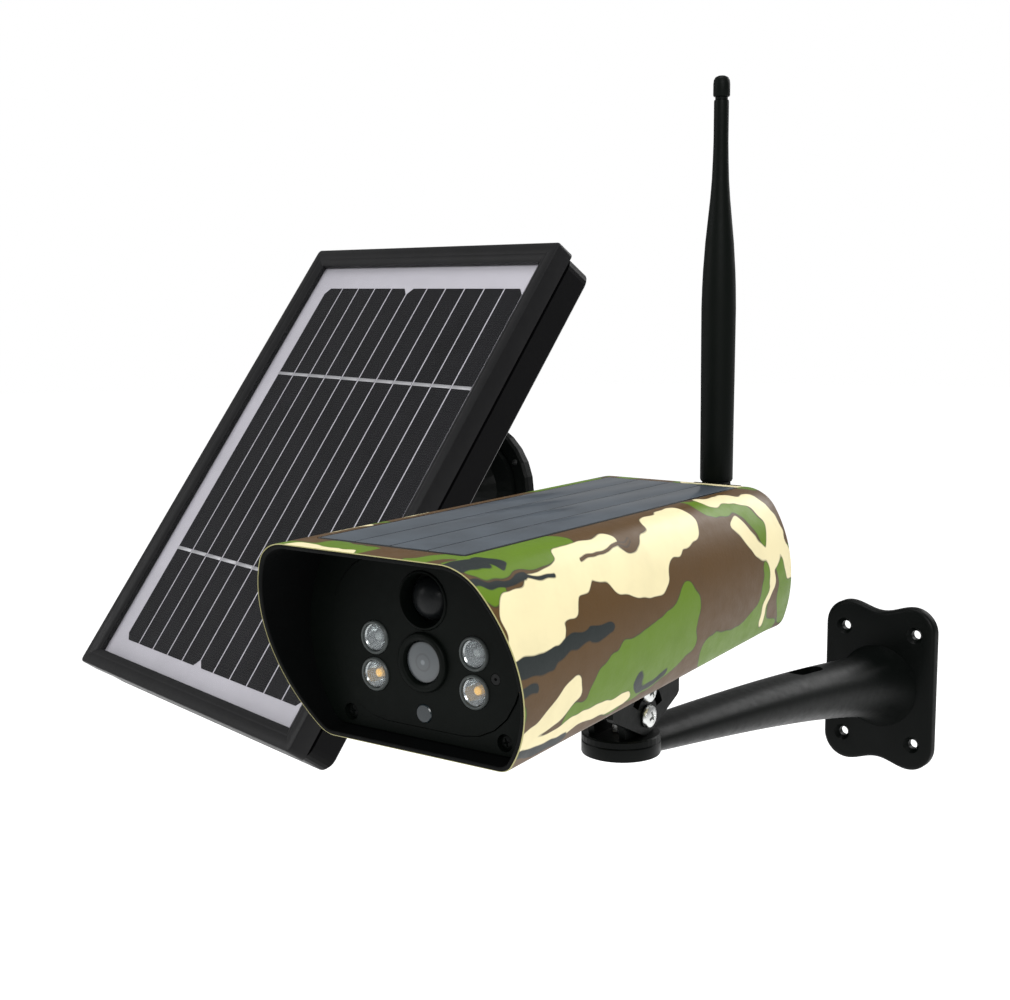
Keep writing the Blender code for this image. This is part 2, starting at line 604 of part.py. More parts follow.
def motion_sensor(head):
    """The infrared motion detector: a deep round cup with a dome inside."""
    at = (0, FACE_Y, BARREL_Z + PIR_Z)
    floor = -0.0066
    cup = [(0, -0.0080), (PIR_RADIUS, -0.0080), (PIR_RADIUS, 0.0003), (PIR_RADIUS - 0.0004, 0.0006),
           (PIR_RADIUS - 0.0010, 0.0003), (PIR_RADIUS - 0.0013, floor), (0, floor)]
    place("motion_sensor_cup", turned(cup, 24), "black plastic", head, at, FRONT_FACING)
    radius, height, base = 0.0080, 0.0054, floor + SEAT
    dome = [(radius * math.cos(a), base + 0.0006 + height * math.sin(a))
            for a in (math.radians(22 * i) for i in range(4))]
    place("motion_sensor_dome", turned([(0, base), (radius, base), *dome, (0, base + 0.0006 + height)], 20),
          "glass", head, at, FRONT_FACING)


def small_front_parts(head):
    """Light sensor window, microphone and the two corner screws."""
    window = [(0, -0.0030), (SENSOR_RADIUS, -0.0030), (SENSOR_RADIUS, 0.0001), (SENSOR_RADIUS - 0.0003, 0.0004),
              (0, 0.0004)]
    place("light_sensor_window", turned(window, 16), "glass", head, (0, FACE_Y, BARREL_Z + SENSOR_Z), FRONT_FACING)
    hole = MICROPHONE_RADIUS * 0.3
    cap = [(hole, -0.0020), (hole, -0.0030), (MICROPHONE_RADIUS, -0.0030), (MICROPHONE_RADIUS, 0.0), (hole, 0.0)]
    x, z = MICROPHONE
    place("microphone", turned_ring(cap, 16), "rubber", head, (x, FACE_Y, BARREL_Z + z), FRONT_FACING)
    for name, x in (("front_screw_left", -CORNER_SCREW[0]), ("front_screw_right", CORNER_SCREW[0])):
        at = (x, FACE_Y - BEZEL_RECESS + 0.0037, BARREL_Z + CORNER_SCREW[1])
        place(name, screw(0.0029, 0.0018, 0.0013, 0.0110), "black coating", head, at, FRONT_FACING)


def head_inside(head):
    """The sled with its screw lugs, the battery pack, the main board and the loudspeaker."""
    slope = underside_slope()
    deck = empty("deck_frame", head, on_underside(0, 0), (slope, 0, 0))
    floor = SHELL_WALL + SEAT
    front = FACE_Y + BEZEL_DEPTH + 0.0018
    rear = UNDERSIDE_END_Y - 0.0005
    middle, length = (front + rear) / 2, rear - front
    sheet = extrusion(rounded_rectangle(0.070, length, 0.002, 2), floor, floor + SLED_THICKNESS)
    sled = place("chassis_sled", sheet, "black plastic", deck, (0, middle, 0))
    for (x, z), y in ((CORNER_SCREW, front + 0.0045), (REAR_SCREW, rear - 0.0045)):
        height = BARREL_BOTTOM - underside_rise(y) + z
        for side in (-1, 1):
            join(sled, block(0.0085, 0.0085, height + 0.0035 - floor), (side * (x - 0.0014), y, floor + 0.0003))
            cut(sled, rod(0.0017, -0.006, 0.006, 8), (side * x, y, height), (math.pi / 2 - slope, 0, 0))
    for y in (-0.022, 0.022):
        cut(sled, rod(BOLT_RADIUS + GAP, floor - 0.002, floor + SLED_THICKNESS + 0.002, 10), (0, y, 0))

    tray_floor = floor + SLED_THICKNESS + SEAT
    wall = 0.0016
    pitch = 2 * CELL_RADIUS + CELL_CLEARANCE
    tray_width, tray_length = 3 * pitch + 2 * wall, CELL_LENGTH + 0.002 + 2 * wall
    cells_y = -0.0620
    tray_sheet = extrusion(rounded_rectangle(tray_width, tray_length, 0.001, 2), tray_floor, tray_floor + 0.012)
    tray = place("battery_tray", tray_sheet, "black plastic", deck, (0, cells_y, 0))
    well = extrusion(rounded_rectangle(tray_width - 2 * wall, tray_length - 2 * wall, 0.001, 2),
                     tray_floor + wall, tray_floor + 0.02)
    cut(tray, well, (0, cells_y, 0))
    cell_z = tray_floor + wall + SEAT + CELL_RADIUS
    half = CELL_LENGTH / 2
    cell = [(0, -half), (CELL_RADIUS, -half), (CELL_RADIUS, half - 0.002), (CELL_RADIUS * 0.5, half - 0.002),
            (CELL_RADIUS * 0.5, half), (0, half)]
    for name, x in (("left", -pitch), ("middle", 0), ("right", pitch)):
        place(f"battery_cell_{name}", turned(cell, 16), "cell", deck, (x, cells_y, cell_z), BACK_FACING)

    board_z = cell_z + CELL_RADIUS + 0.004
    board = extrusion(rounded_rectangle(0.072, 0.118, 0.003, 3), board_z, board_z + BOARD_THICKNESS)
    main = place("main_board", board, "circuit board", deck, (0, -0.045, 0))
    for x, y, width, depth, height in ((0, -0.050, 0.022, 0.022, 0.003), (0.022, -0.010, 0.014, 0.016, 0.006),
                                       (-0.022, -0.075, 0.020, 0.018, 0.002), (-0.020, -0.012, 0.016, 0.026, 0.004)):
        join(main, block(width, depth, height), (x, y, board_z + BOARD_THICKNESS * 0.7))
    for x in (-0.0310, 0.0310):
        for y in (cells_y - tray_length / 2 - 0.0032, 0.008):
            post = rod(0.0025, floor + SLED_THICKNESS - 0.001, board_z - SEAT, 10)
            join(sled, post, (x, y, 0))
    speaker = [(0, 0), (0.0130, 0), (0.0130, -0.0020), (0.0090, -0.0055), (0, -0.0055)]
    place("speaker", turned(speaker, 16), "black coating", head,
          (SPEAKER[0], rear_cover_front() - 0.0025, BARREL_Z + SPEAKER[1]), BACK_FACING)


# Rear cover and what is on it

def rear_cover_back():
    return SHELL_REAR_Y - REAR_COVER_RECESS


def rear_cover_front():
    return rear_cover_back() - REAR_COVER_DEPTH


def rear_cover(head):
    """The end cap with its gasket, grille, sockets and screws."""
    back = (0, rear_cover_back(), BARREL_Z)
    cap = extrusion(barrel_outline(SHELL_WALL + GAP, UNDERSIDE_RISE), -REAR_COVER_DEPTH, 0)
    cover = place("rear_cover", cap, "black plastic", head, back, BACK_FACING)
    cut(cover, extrusion(barrel_outline(SHELL_WALL + GAP + 0.0025, UNDERSIDE_RISE), -REAR_COVER_DEPTH - 0.001, -0.0035),
        back, BACK_FACING)
    grille = [(0, 0)] + circle(0.0036, 5) + circle(0.0072, 9)
    for x, z in grille:
        hole = rod(0.0009, -0.010, 0.004, 6)
        cut(cover, hole, (SPEAKER[0] + x, back[1], BARREL_Z + SPEAKER[1] + z), BACK_FACING)
    cut(cover, rod(BUTTON_RADIUS + GAP, -0.010, 0.004, 20),
        (POWER_BUTTON[0], back[1], BARREL_Z + POWER_BUTTON[1]), BACK_FACING)
    pocket = extrusion(rounded_rectangle(PORT_WIDTH + 2 * GAP, PORT_HEIGHT + 2 * GAP, 0.002 + GAP, 3),
                       -PORT_DEPTH, 0.004)
    cut(cover, pocket, (PORT[0], back[1], BARREL_Z + PORT[1]), BACK_FACING)
    socket = extrusion(rounded_rectangle(0.0094, 0.0036, 0.0017, 3), -0.010, 0.004)
    cut(cover, socket, (PORT[0] - 0.006, back[1], BARREL_Z + PORT[1]), BACK_FACING)
    for place_x, place_z, radius in ((*INLET, 0.0040), (ANTENNA_X, ANTENNA_Z - BARREL_Z, 0.0035)):
        cut(cover, rod(radius + GAP, -0.010, 0.004, 20), (place_x, back[1], BARREL_Z + place_z), BACK_FACING)
    for name, x in (("rear_screw_left", -REAR_SCREW[0]), ("rear_screw_right", REAR_SCREW[0])):
        at = (x, back[1], BARREL_Z + REAR_SCREW[1])
        cut(cover, rod(0.0032, -0.0022, 0.004, 16), at, BACK_FACING)
        cut(cover, rod(0.0017, -0.010, 0.004, 8), at, BACK_FACING)
        place(name, screw(0.0029, 0.0016, 0.0013, 0.0100), "steel", head,
              (x, back[1] - 0.0022 + SEAT, at[2]), BACK_FACING)

    seal = extrusion(barrel_outline(SHELL_WALL + GAP, UNDERSIDE_RISE), -0.0012, 0)
    gasket_at = (0, rear_cover_front() - SEAT, BARREL_Z)
    gasket = place("rear_gasket", seal, "rubber", head, gasket_at, BACK_FACING)
    cut(gasket, extrusion(barrel_outline(SHELL_WALL + GAP + 0.0013, UNDERSIDE_RISE), -0.004, 0.002), gasket_at,
        BACK_FACING)
    inlet = [(0, -0.0080), (0.0040, -0.0080), (0.0040, SEAT), (0.0062, SEAT), (0.0068, 0.0012), (0.0068, 0.0060),
             (0.0060, 0.0072), (0.0034, 0.0076), (0, 0.0076)]
    place("panel_inlet", turned(inlet, 12), "black coating", head, (INLET[0], back[1], BARREL_Z + INLET[1]),
          BACK_FACING)


def power_button(head):
    """A round button that travels straight in."""
    button = [(0, -0.0040), (BUTTON_RADIUS, -0.0040), (BUTTON_RADIUS, 0.0006), (BUTTON_RADIUS - 0.0008, 0.0013),
              (0, 0.0015)]
    place("power_button", turned(button, 20), "rubber", head,
          (POWER_BUTTON[0], rear_cover_back(), BARREL_Z + POWER_BUTTON[1]), BACK_FACING)


def port_flap(head):
    """The rubber flap over the charging socket. Its origin is on the hinge line along its lower edge."""
    thickness = PORT_DEPTH - SEAT
    hinge = empty("port_flap_axis", head, (PORT[0], rear_cover_back(), BARREL_Z + PORT[1] - PORT_HEIGHT / 2))
    outline = rounded_rectangle(PORT_WIDTH, PORT_HEIGHT, 0.002, 3)
    # The lower edge is chamfered towards the inside, so that it clears the pocket as it swings.
    chamfer = thickness * 0.95
    rings = []
    for depth in (-thickness, -thickness * 0.5, 0):
        lift = chamfer * -depth / thickness
        rings.append([(x, max(z, lift - PORT_HEIGHT / 2) + PORT_HEIGHT / 2, depth) for x, z in outline])
    # Seen from behind, local X runs to the left, and the outline is symmetrical.
    shape = skin([[(x, depth, z) for x, z, depth in ring] for ring in rings])
    flap = place("port_flap", shape, "rubber", hinge)
    join(flap, block(0.010, 0.0016, 0.0024), (0, 0.0006, PORT_HEIGHT - 0.0032))


# Antenna

def antenna(head):
    """A bulkhead ferrule, an elbow that turns in it, and the rod that folds on the elbow."""
    base_y = rear_cover_back()
    ferrule = [(0, -0.0060), (0.0035, -0.0060), (0.0035, SEAT), (0.0056, SEAT), (0.0056, 0.0022), (0.0050, 0.0028),
               (0, 0.0028)]
    place("antenna_ferrule", turned(ferrule, 20), "steel", head, (ANTENNA_X, base_y, ANTENNA_Z), BACK_FACING)
    turn = empty("antenna_turn_axis", head, (ANTENNA_X, base_y + ANTENNA_BACK, ANTENNA_Z))
    collar = [(0, 0.0031 - ANTENNA_BACK), (0.0052, 0.0031 - ANTENNA_BACK), (0.0056, 0.0036 - ANTENNA_BACK),
              (0.0056, 0), (0, 0)]
    elbow = place("antenna_elbow", turned(collar, 16), "black plastic", turn, (0, 0, 0), BACK_FACING)
    join(elbow, rod(KNUCKLE_RADIUS, -KNUCKLE_HALF_WIDTH, KNUCKLE_HALF_WIDTH, 20), (0, 0, 0), ALONG_X)
    web = extrusion(rounded_rectangle(2 * KNUCKLE_HALF_WIDTH - 0.002, 0.0090, 0.003, 3), 0.0040 - ANTENNA_BACK,
                    -KNUCKLE_RADIUS * 0.55)
    join(elbow, web, (0, 0, 0), BACK_FACING)
    mouth = 2 * TONGUE_HALF_WIDTH + 2 * GAP
    cut(elbow, rod(KNUCKLE_RADIUS + GAP, -mouth / 2, mouth / 2, 20), (0, 0, 0), ALONG_X)

    fold = empty("antenna_fold_axis", turn, (0, 0, 0))
    base = KNUCKLE_RADIUS + 0.0010
    tip = ANTENNA_LENGTH
    profile = [
        (0, base), (0.0066, base), (0.0072, base + 0.0010), (0.0075, 0.0850), (0.0072, 0.0990),
        (0.0062, 0.1130), (0.0045, 0.1290), (0.0034, 0.1430), (0.0032, tip - 0.0105), (0.0027, tip - 0.0100),
        (0.0027, tip - 0.0090), (0.0036, tip - 0.0085), (0.0036, tip - 0.0035), (0.0026, tip - 0.0008), (0, tip),
    ]
    blade = place("antenna_rod", turned(profile, 16), "black plastic", fold)
    join(blade, rod(KNUCKLE_RADIUS - 0.0006, -TONGUE_HALF_WIDTH, TONGUE_HALF_WIDTH, 20), (0, 0, 0), ALONG_X)
    join(blade, block(2 * TONGUE_HALF_WIDTH - 0.0002, 2 * KNUCKLE_RADIUS - 0.0046, base + 0.0010))


# Separate solar panel. Its own pieces are placed from its tilt axis, with +Z up the panel and +Y out of its back.

def panel_bracket_base():
    """Wall flange, tapering neck and the fork that holds the link, in one casting."""
    at = (PANEL_PAN_X, 0, PANEL_AXIS_Z)
    reach = -PANEL_PAN_Y
    profile = [
        (0, 0), (PANEL_FLANGE_RADIUS, 0), (PANEL_FLANGE_RADIUS, 0.0050), (PANEL_FLANGE_RADIUS - 0.0016, 0.0066),
        (PANEL_FLANGE_RADIUS - 0.0090, 0.0072), (PANEL_FLANGE_RADIUS - 0.0096, 0.0064),
        (PANEL_FLANGE_RADIUS - 0.0104, 0.0064), (PANEL_FLANGE_RADIUS - 0.0112, 0.0100),
        (0.0240, 0.0140), (0.0170, 0.0210), (0.0140, 0.0300), (PANEL_NECK_RADIUS, 0.0420),
        (PANEL_NECK_RADIUS, reach - 0.0270), (0, reach - 0.0270),
    ]
    base = place("panel_wall_base", turned(profile, 28), "black coating", None, at, FRONT_FACING)
    inner = PANEL_LINK_HALF + SEAT
    arm_outline = arc((0, 0), 0.0105, -math.pi, 0, 10) + [(0.0105, 0.0300), (-0.0105, 0.0300)]
    for low in (inner, -inner - 0.0050):
        join(base, extrusion(arm_outline, low, low + 0.0050), (PANEL_PAN_X, PANEL_PAN_Y, PANEL_AXIS_Z))
    outer = inner + 0.0050
    join(base, extrusion([(-0.0105, 0.0180), (0.0105, 0.0180), (0.0105, 0.0300), (-0.0105, 0.0300)], -outer, outer),
         (PANEL_PAN_X, PANEL_PAN_Y, PANEL_AXIS_Z))
    cut(base, rod(PANEL_PIN_RADIUS + GAP, -0.03, 0.03, 14), (PANEL_PAN_X, PANEL_PAN_Y, PANEL_AXIS_Z))
    for turn in (30, 150, 270):
        x = 0.0385 * math.cos(math.radians(turn))
        z = 0.0385 * math.sin(math.radians(turn))
        cut(base, rod(0.0021, -0.002, 0.02, 10), (PANEL_PAN_X + x, 0, PANEL_AXIS_Z + z), FRONT_FACING)
    place("panel_pan_bolt", screw(0.0056, 0.0030, PANEL_PIN_RADIUS, 2 * outer + 0.0045), "steel", None,
          (PANEL_PAN_X, PANEL_PAN_Y, PANEL_AXIS_Z + outer + SEAT))


def panel_link(pan):
    """The block between the two bracket axes."""
    barrel = rod(0.0100, -PANEL_LINK_HALF, PANEL_LINK_HALF, 24)
    link = place("panel_link", barrel, "black coating", pan)
    tongue = 0.0086
    outline = [(-tongue, -PANEL_LINK), (tongue, -PANEL_LINK), (tongue, 0), (-tongue, 0)]
    join(link, extrusion(outline, -0.0070, 0.0070))
    join(link, rod(PANEL_LUG_RADIUS, -tongue, tongue, 20), (0, -PANEL_LINK, 0), ALONG_X)
    cut(link, rod(PANEL_PIN_RADIUS + GAP, -0.03, 0.03, 14))
    cut(link, rod(PANEL_PIN_RADIUS + GAP, -0.03, 0.03, 14), (0, -PANEL_LINK, 0), ALONG_X)


def panel_back_plate(tilt):
    """The plate that screws to the panel's back, with the two lugs of the tilt hinge."""
    front = -PANEL_STANDOFF + SEAT
    thickness = 0.0030
    sheet = extrusion(rounded_rectangle(0.090, 0.070, 0.008, 4), -thickness - front, -front)
    plate = place("panel_back_plate", sheet, "black coating", tilt, (0, 0, 0), FRONT_FACING)
    inner, lug = 0.0086 + SEAT, 0.0042
    outline = arc((0, 0), PANEL_LUG_RADIUS, -math.pi / 2, math.pi / 2, 10)
    outline += [(front + thickness * 0.5, 0.0120), (front + thickness * 0.5, -0.0120)]
    for x in (inner, -inner - lug):
        join(plate, skin([[(x + width, y, z) for y, z in outline] for width in (0, lug)]))
    cut(plate, rod(PANEL_PIN_RADIUS + GAP, -0.03, 0.03, 14), (0, 0, 0), ALONG_X)
    outer = inner + lug
    place("panel_tilt_bolt", screw(0.0056, 0.0030, PANEL_PIN_RADIUS, 2 * outer + 0.0045), "steel", tilt,
          (outer + SEAT, 0, 0), ALONG_X)
    for name, x in (("left", -0.036), ("right", 0.036)):
        at = (x, front + thickness, 0)
        cut(plate, rod(0.0021 + GAP, -0.01, 0.01, 14), at, FRONT_FACING)
        place(f"panel_screw_{name}", screw(0.0040, 0.0022, 0.0021, 0.0110), "steel", tilt,
              (at[0], at[1] + SEAT, at[2]), BACK_FACING)


def panel(tilt):
    """Frame, glass, cell laminate, rear box and junction box."""
    face = -PANEL_STANDOFF - PANEL_DEPTH
    at = (0, face, 0)
    edge = 0.0008
    levels = ((-PANEL_FRAME_DEPTH, 0), (-edge, 0), (0, edge))
    rings = []
    for depth, inset in levels:
        outline = rounded_rectangle(PANEL_WIDTH - 2 * inset, PANEL_HEIGHT - 2 * inset, 0.0030 - inset, 3)
        rings.append([(x, z, depth) for x, z in outline])
    frame = place("panel_frame", skin(rings), "black plastic", tilt, at, FRONT_FACING)
    lip = 0.0020
    window = (PANEL_WIDTH - 2 * PANEL_BORDER, PANEL_HEIGHT - 2 * PANEL_BORDER)
    cut(frame, extrusion(rounded_rectangle(*window, 0.0008, 2), -0.03, 0.01), at, FRONT_FACING)
    pocket = (window[0] + 0.012, window[1] + 0.012)
    pocket_outline = rounded_rectangle(*pocket, 0.0012, 2)
    cut(frame, extrusion(pocket_outline, -0.03, -lip), at, FRONT_FACING)
    sheet = rounded_rectangle(pocket[0] - 2 * GAP, pocket[1] - 2 * GAP, 0.0010, 2)
    glass_front = -lip - SEAT
    laminate_front = glass_front - GLASS_THICKNESS - SEAT
    place("panel_glass", extrusion(sheet, glass_front - GLASS_THICKNESS, glass_front), "glass", tilt, at, FRONT_FACING)
    place("panel_laminate", extrusion(sheet, laminate_front - LAMINATE_THICKNESS, laminate_front), "solar cell",
          tilt, at, FRONT_FACING)
    box_front = -PANEL_FRAME_DEPTH - SEAT
    box_width, box_height = PANEL_WIDTH - 2 * PANEL_BOX_INSET, PANEL_HEIGHT - 2 * PANEL_BOX_INSET
    groove = 0.0015
    rings = []
    for depth, inset in ((box_front, groove), (box_front - 0.0016, groove), (box_front - 0.0020, 0),
                         (-PANEL_DEPTH + 0.0015, 0), (-PANEL_DEPTH, 0.0015)):
        outline = rounded_rectangle(box_width - 2 * inset, box_height - 2 * inset, PANEL_BOX_CORNER - inset, 5)
        rings.append([(x, z, depth) for x, z in outline])
    box = place("panel_rear_box", skin(rings), "black plastic", tilt, at, FRONT_FACING)
    well = rounded_rectangle(box_width - 2 * groove - 2 * PANEL_BOX_WALL, box_height - 2 * groove - 2 * PANEL_BOX_WALL,
                             PANEL_BOX_CORNER - groove - PANEL_BOX_WALL, 4)
    cut(box, extrusion(well, PANEL_BOX_WALL - PANEL_DEPTH, 0), at, FRONT_FACING)
    for x in (-0.036, 0.036):
        cut(box, rod(0.0021 + GAP, -0.01, 0.01, 14), (x, -PANEL_STANDOFF, 0), FRONT_FACING)
    cover = []
    for depth, inset in ((0, 0), (0.0130, 0), (0.0150, 0.0020)):
        outline = rounded_rectangle(0.062 - 2 * inset, 0.040 - 2 * inset, 0.005 - inset, 4)
        cover.append([(x, z, depth) for x, z in outline])
    junction = place("junction_box", skin(cover), "black plastic", tilt, (0, -PANEL_STANDOFF + SEAT, -0.105),
                     BACK_FACING)
    gland = [(0, 0), (0.0055, 0), (0.0055, 0.0060), (0.0048, 0.0075), (0.0048, 0.0110), (0.0030, 0.0130), (0, 0.0130)]
    join(junction, turned(gland, 12), (0.022, -PANEL_STANDOFF + 0.0078, -0.1248), (math.pi, 0, 0))


def build():
    clear_scene()
    wall_arm()
    pan = empty("camera_pan_axis", None, (0, -ARM_REACH, PIVOT_Z), (0, 0, REST_PAN))
    swivel_yoke(pan)
    swivel_fasteners(pan)
    head = empty("camera_tilt_axis", pan, (0, 0, 0))
    mount_foot(head)
    outer_shell(head)
    roof_panel(head)
    front = (0, FACE_Y, BARREL_Z)
    front_plates(head, front)
    lamps(head)
    lens(head)
    motion_sensor(head)
    small_front_parts(head)
    head_inside(head)
    rear_cover(head)
    power_button(head)
    port_flap(head)
    antenna(head)
    panel_bracket_base()
    panel_pan = empty("panel_pan_axis", None, (PANEL_PAN_X, PANEL_PAN_Y, PANEL_AXIS_Z), (0, 0, PANEL_REST_PAN))
    panel_link(panel_pan)
    panel_tilt = empty("panel_tilt_axis", panel_pan, (0, -PANEL_LINK, 0), (PANEL_REST_TILT, 0, 0))
    panel_back_plate(panel_tilt)
    panel(panel_tilt)


build()
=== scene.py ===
"""Looks for the solar-powered security camera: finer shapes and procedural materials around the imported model."""

import json
import math

import bmesh
import bpy
from mathutils import Matrix, Vector


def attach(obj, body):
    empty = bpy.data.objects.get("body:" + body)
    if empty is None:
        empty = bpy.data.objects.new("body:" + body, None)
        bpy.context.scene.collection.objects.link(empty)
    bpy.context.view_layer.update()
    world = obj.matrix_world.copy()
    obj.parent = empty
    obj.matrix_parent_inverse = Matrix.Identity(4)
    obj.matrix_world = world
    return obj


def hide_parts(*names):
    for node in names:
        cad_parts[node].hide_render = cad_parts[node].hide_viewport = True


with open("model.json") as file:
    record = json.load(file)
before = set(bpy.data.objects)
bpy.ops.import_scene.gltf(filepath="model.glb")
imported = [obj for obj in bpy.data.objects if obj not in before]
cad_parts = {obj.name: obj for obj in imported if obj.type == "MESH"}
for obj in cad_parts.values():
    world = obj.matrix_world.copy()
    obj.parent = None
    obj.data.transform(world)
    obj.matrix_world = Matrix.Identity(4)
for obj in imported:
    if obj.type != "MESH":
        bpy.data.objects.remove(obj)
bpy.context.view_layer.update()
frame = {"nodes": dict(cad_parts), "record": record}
NODES = frame["nodes"]

# Camera
IMAGE_WIDTH_MM = 36.0
LENS_MM = 54.03
CAMERA_AT = (0.3560, -0.7722, 0.2241)
AZIMUTH, ELEVATION, ROLL = (math.radians(a) for a in (39.06, 8.26, -0.36))

# Sizes repeated from the model, in metres, and its rest angles, in degrees
HEAD_TURN, PANEL_TURN, PANEL_LEAN = 3.64, -11.5, -35.8
PIVOT = (0, -0.256, 0.0423)
FACE_Y = -0.134
REAR_Y = 0.046
BARREL_Z = 0.057
BARREL_RADIUS = 0.0555
BARREL_TOP = 0.0365
BARREL_BOTTOM = 0.0383
SHELL_WALL = 0.0016
HOOD_TOP, HOOD_LOW = 0.0341, 0.0067  # how far the hood reaches past the face, along its top and its bottom
HOOD_SLOPE = (HOOD_TOP - HOOD_LOW) / (BARREL_TOP + BARREL_BOTTOM)
UNDERSIDE_RISE, UNDERSIDE_FRONT, UNDERSIDE_END = 0.0145, -0.1407, 0.036
ARM_REACH = 0.256
BORE_RADIUS, BORE_Z, BORE_DEPTH = 0.007, 0.011, 0.108
DISC_BOTTOM, DISC_TOP, DISC_RADIUS = 0.0247, 0.0304, 0.017
SCREW_X, FRONT_SCREW_Z, REAR_SCREW_Z = 0.0343, -0.0306, -0.0160
PANEL_SCREW_X = 0.036
YOKE_INNER, EAR, SEAT = 0.0059, 0.0032, 0.0003
LED_X, LED_HIGH, LED_LOW, LED_RADIUS = 0.022, -0.0012, -0.0146, 0.0061
LENS_Z, LENS_RADIUS, COLLAR_RADIUS = -0.0072, 0.0076, 0.0107
PIR_Z, PIR_RADIUS = 0.0148, 0.0106
SENSOR_Z, SENSOR_RADIUS = -0.0257, 0.0033
ROOF_WIDTH, ROOF_FRONT, ROOF_REAR, ROOF_Z = 0.0646, -0.1525, 0.0418, 0.0937
ANTENNA = (0.013, 0.059, 0.084)
PANEL_AXIS = (-0.295184, -0.109698, 0.0875)
PANEL_FACE = -0.049
PANEL_WIDTH, PANEL_HEIGHT = 0.250, 0.318

MM = 1000.0
SHARP_ANGLE = math.radians(35)


def turn(degrees, axis):
    """A rotation about one of the main axes."""
    return Matrix.Rotation(math.radians(degrees), 4, axis)


HEAD = Matrix.Translation(PIVOT) @ turn(HEAD_TURN, "Z")
FRONT = HEAD @ Matrix.Translation((0, FACE_Y, BARREL_Z)) @ turn(90, "X")
REAR = HEAD @ Matrix.Translation((0, REAR_Y, BARREL_Z)) @ turn(180, "Z") @ turn(90, "X")
PANEL = Matrix.Translation(PANEL_AXIS) @ turn(PANEL_TURN, "Z") @ turn(PANEL_LEAN, "X")
PANEL_FRONT = PANEL @ Matrix.Translation((0, PANEL_FACE, 0)) @ turn(90, "X")


# Materials

def srgb(*values):
    """Linear colour from 0-255 values."""
    return tuple((v / 255 / 12.92 if v <= 10 else ((v / 255 + 0.055) / 1.055) ** 2.4) for v in values)


class Look:
    """A Principled material and short ways to add nodes to it."""

    def __init__(self, name, colour, roughness, metallic=0.0, **sockets):
        self.material = bpy.data.materials.new(name)
        self.material.use_nodes = True
        self.tree = self.material.node_tree
        self.shader = self.tree.nodes["Principled BSDF"]
        self.set("Base Color", (*colour, 1))
        self.set("Roughness", roughness)
        self.set("Metallic", metallic)
        for socket, value in sockets.items():
            self.set(socket.replace("_", " "), value)
        self.place = self.node("ShaderNodeTexCoord").outputs["Object"]

    def set(self, socket, value):
        """A number on the shader's own socket, or a link to it."""
        if isinstance(value, bpy.types.NodeSocket):
            self.tree.links.new(value, self.shader.inputs[socket])
        else:
            self.shader.inputs[socket].default_value = value

    def node(self, kind, inputs=None, **settings):
        """A new node with its inputs, each a value or a socket to link, and its settings."""
        made = self.tree.nodes.new(kind)
        for name, value in settings.items():
            setattr(made, name, value)
        for key, value in (inputs or {}).items():
            if isinstance(value, bpy.types.NodeSocket):
                self.tree.links.new(value, made.inputs[key])
            else:
                made.inputs[key].default_value = value
        return made

    def noise(self, scale, detail, roughness=0.55):
        """Noise in the piece's own coordinates."""
        made = self.node("ShaderNodeTexNoise", {"Vector": self.place, "Scale": scale, "Detail": detail,
                                                "Roughness": roughness})
        return made.outputs["Fac"]

    def math(self, operation, *values, clamp=False):
        """One Math node on numbers or sockets."""
        made = self.node("ShaderNodeMath", dict(enumerate(values)), operation=operation, use_clamp=clamp)
        return made.outputs[0]

    def vector(self, operation, *values):
        """One Vector Math node on vectors or sockets."""
        made = self.node("ShaderNodeVectorMath", dict(enumerate(values)), operation=operation)
        return made.outputs["Value" if operation in ("LENGTH", "DOT_PRODUCT") else "Vector"]

    def span(self, value, low, high, to_low=0.0, to_high=1.0):
        """Maps low..high to to_low..to_high, and holds the ends."""
        made = self.node("ShaderNodeMapRange", {"Value": value, "From Min": low, "From Max": high,
                                                "To Min": to_low, "To Max": to_high})
        return made.outputs["Result"]

    def mix(self, share, first, second):
        """The first colour at 0 and the second at 1."""
        made = self.node("ShaderNodeMix", {"Factor": share}, data_type="RGBA")
        for key, value in (("A", first), ("B", second)):
            socket = [s for s in made.inputs if s.name == key and s.type == "RGBA"][0]
            if isinstance(value, bpy.types.NodeSocket):
                self.tree.links.new(value, socket)
            else:
                socket.default_value = (*value, 1)
        return [s for s in made.outputs if s.type == "RGBA"][0]

    def bump(self, height, distance):
        """Relief of the given depth on the shader's normal."""
        made = self.node("ShaderNodeBump", {"Height": height, "Distance": distance, "Strength": 1.0})
        self.set("Normal", made.outputs["Normal"])

    def split(self, place=None):
        """The X, Y and Z of a place."""
        return self.node("ShaderNodeSeparateXYZ", {"Vector": place or self.place}).outputs


def surface(name, colour, roughness, metallic=0.0, grain=2200.0, relief=0.00003, mottle=0.12, spread=0.07, **sockets):
    """A surface with a fine grain, broad changes of tone and slightly uneven gloss."""
    look = Look(name, colour, roughness, metallic, **sockets)
    broad = look.noise(32, 4)
    fine = look.noise(grain, 2)
    dark = tuple(c * (1 - mottle) for c in colour)
    light = tuple(c * (1 + mottle) for c in colour)
    look.set("Base Color", look.mix(look.span(broad, 0.35, 0.65), dark, light))
    scuffs = look.noise(240, 5, roughness=0.7)
    look.set("Roughness", look.span(scuffs, 0.3, 0.7, roughness - spread, roughness + spread))
    look.bump(fine, relief)
    return look.material


CREAM, GREEN, BROWN, SLATE = srgb(219, 208, 166), srgb(84, 112, 14), srgb(78, 56, 27), srgb(24, 31, 31)

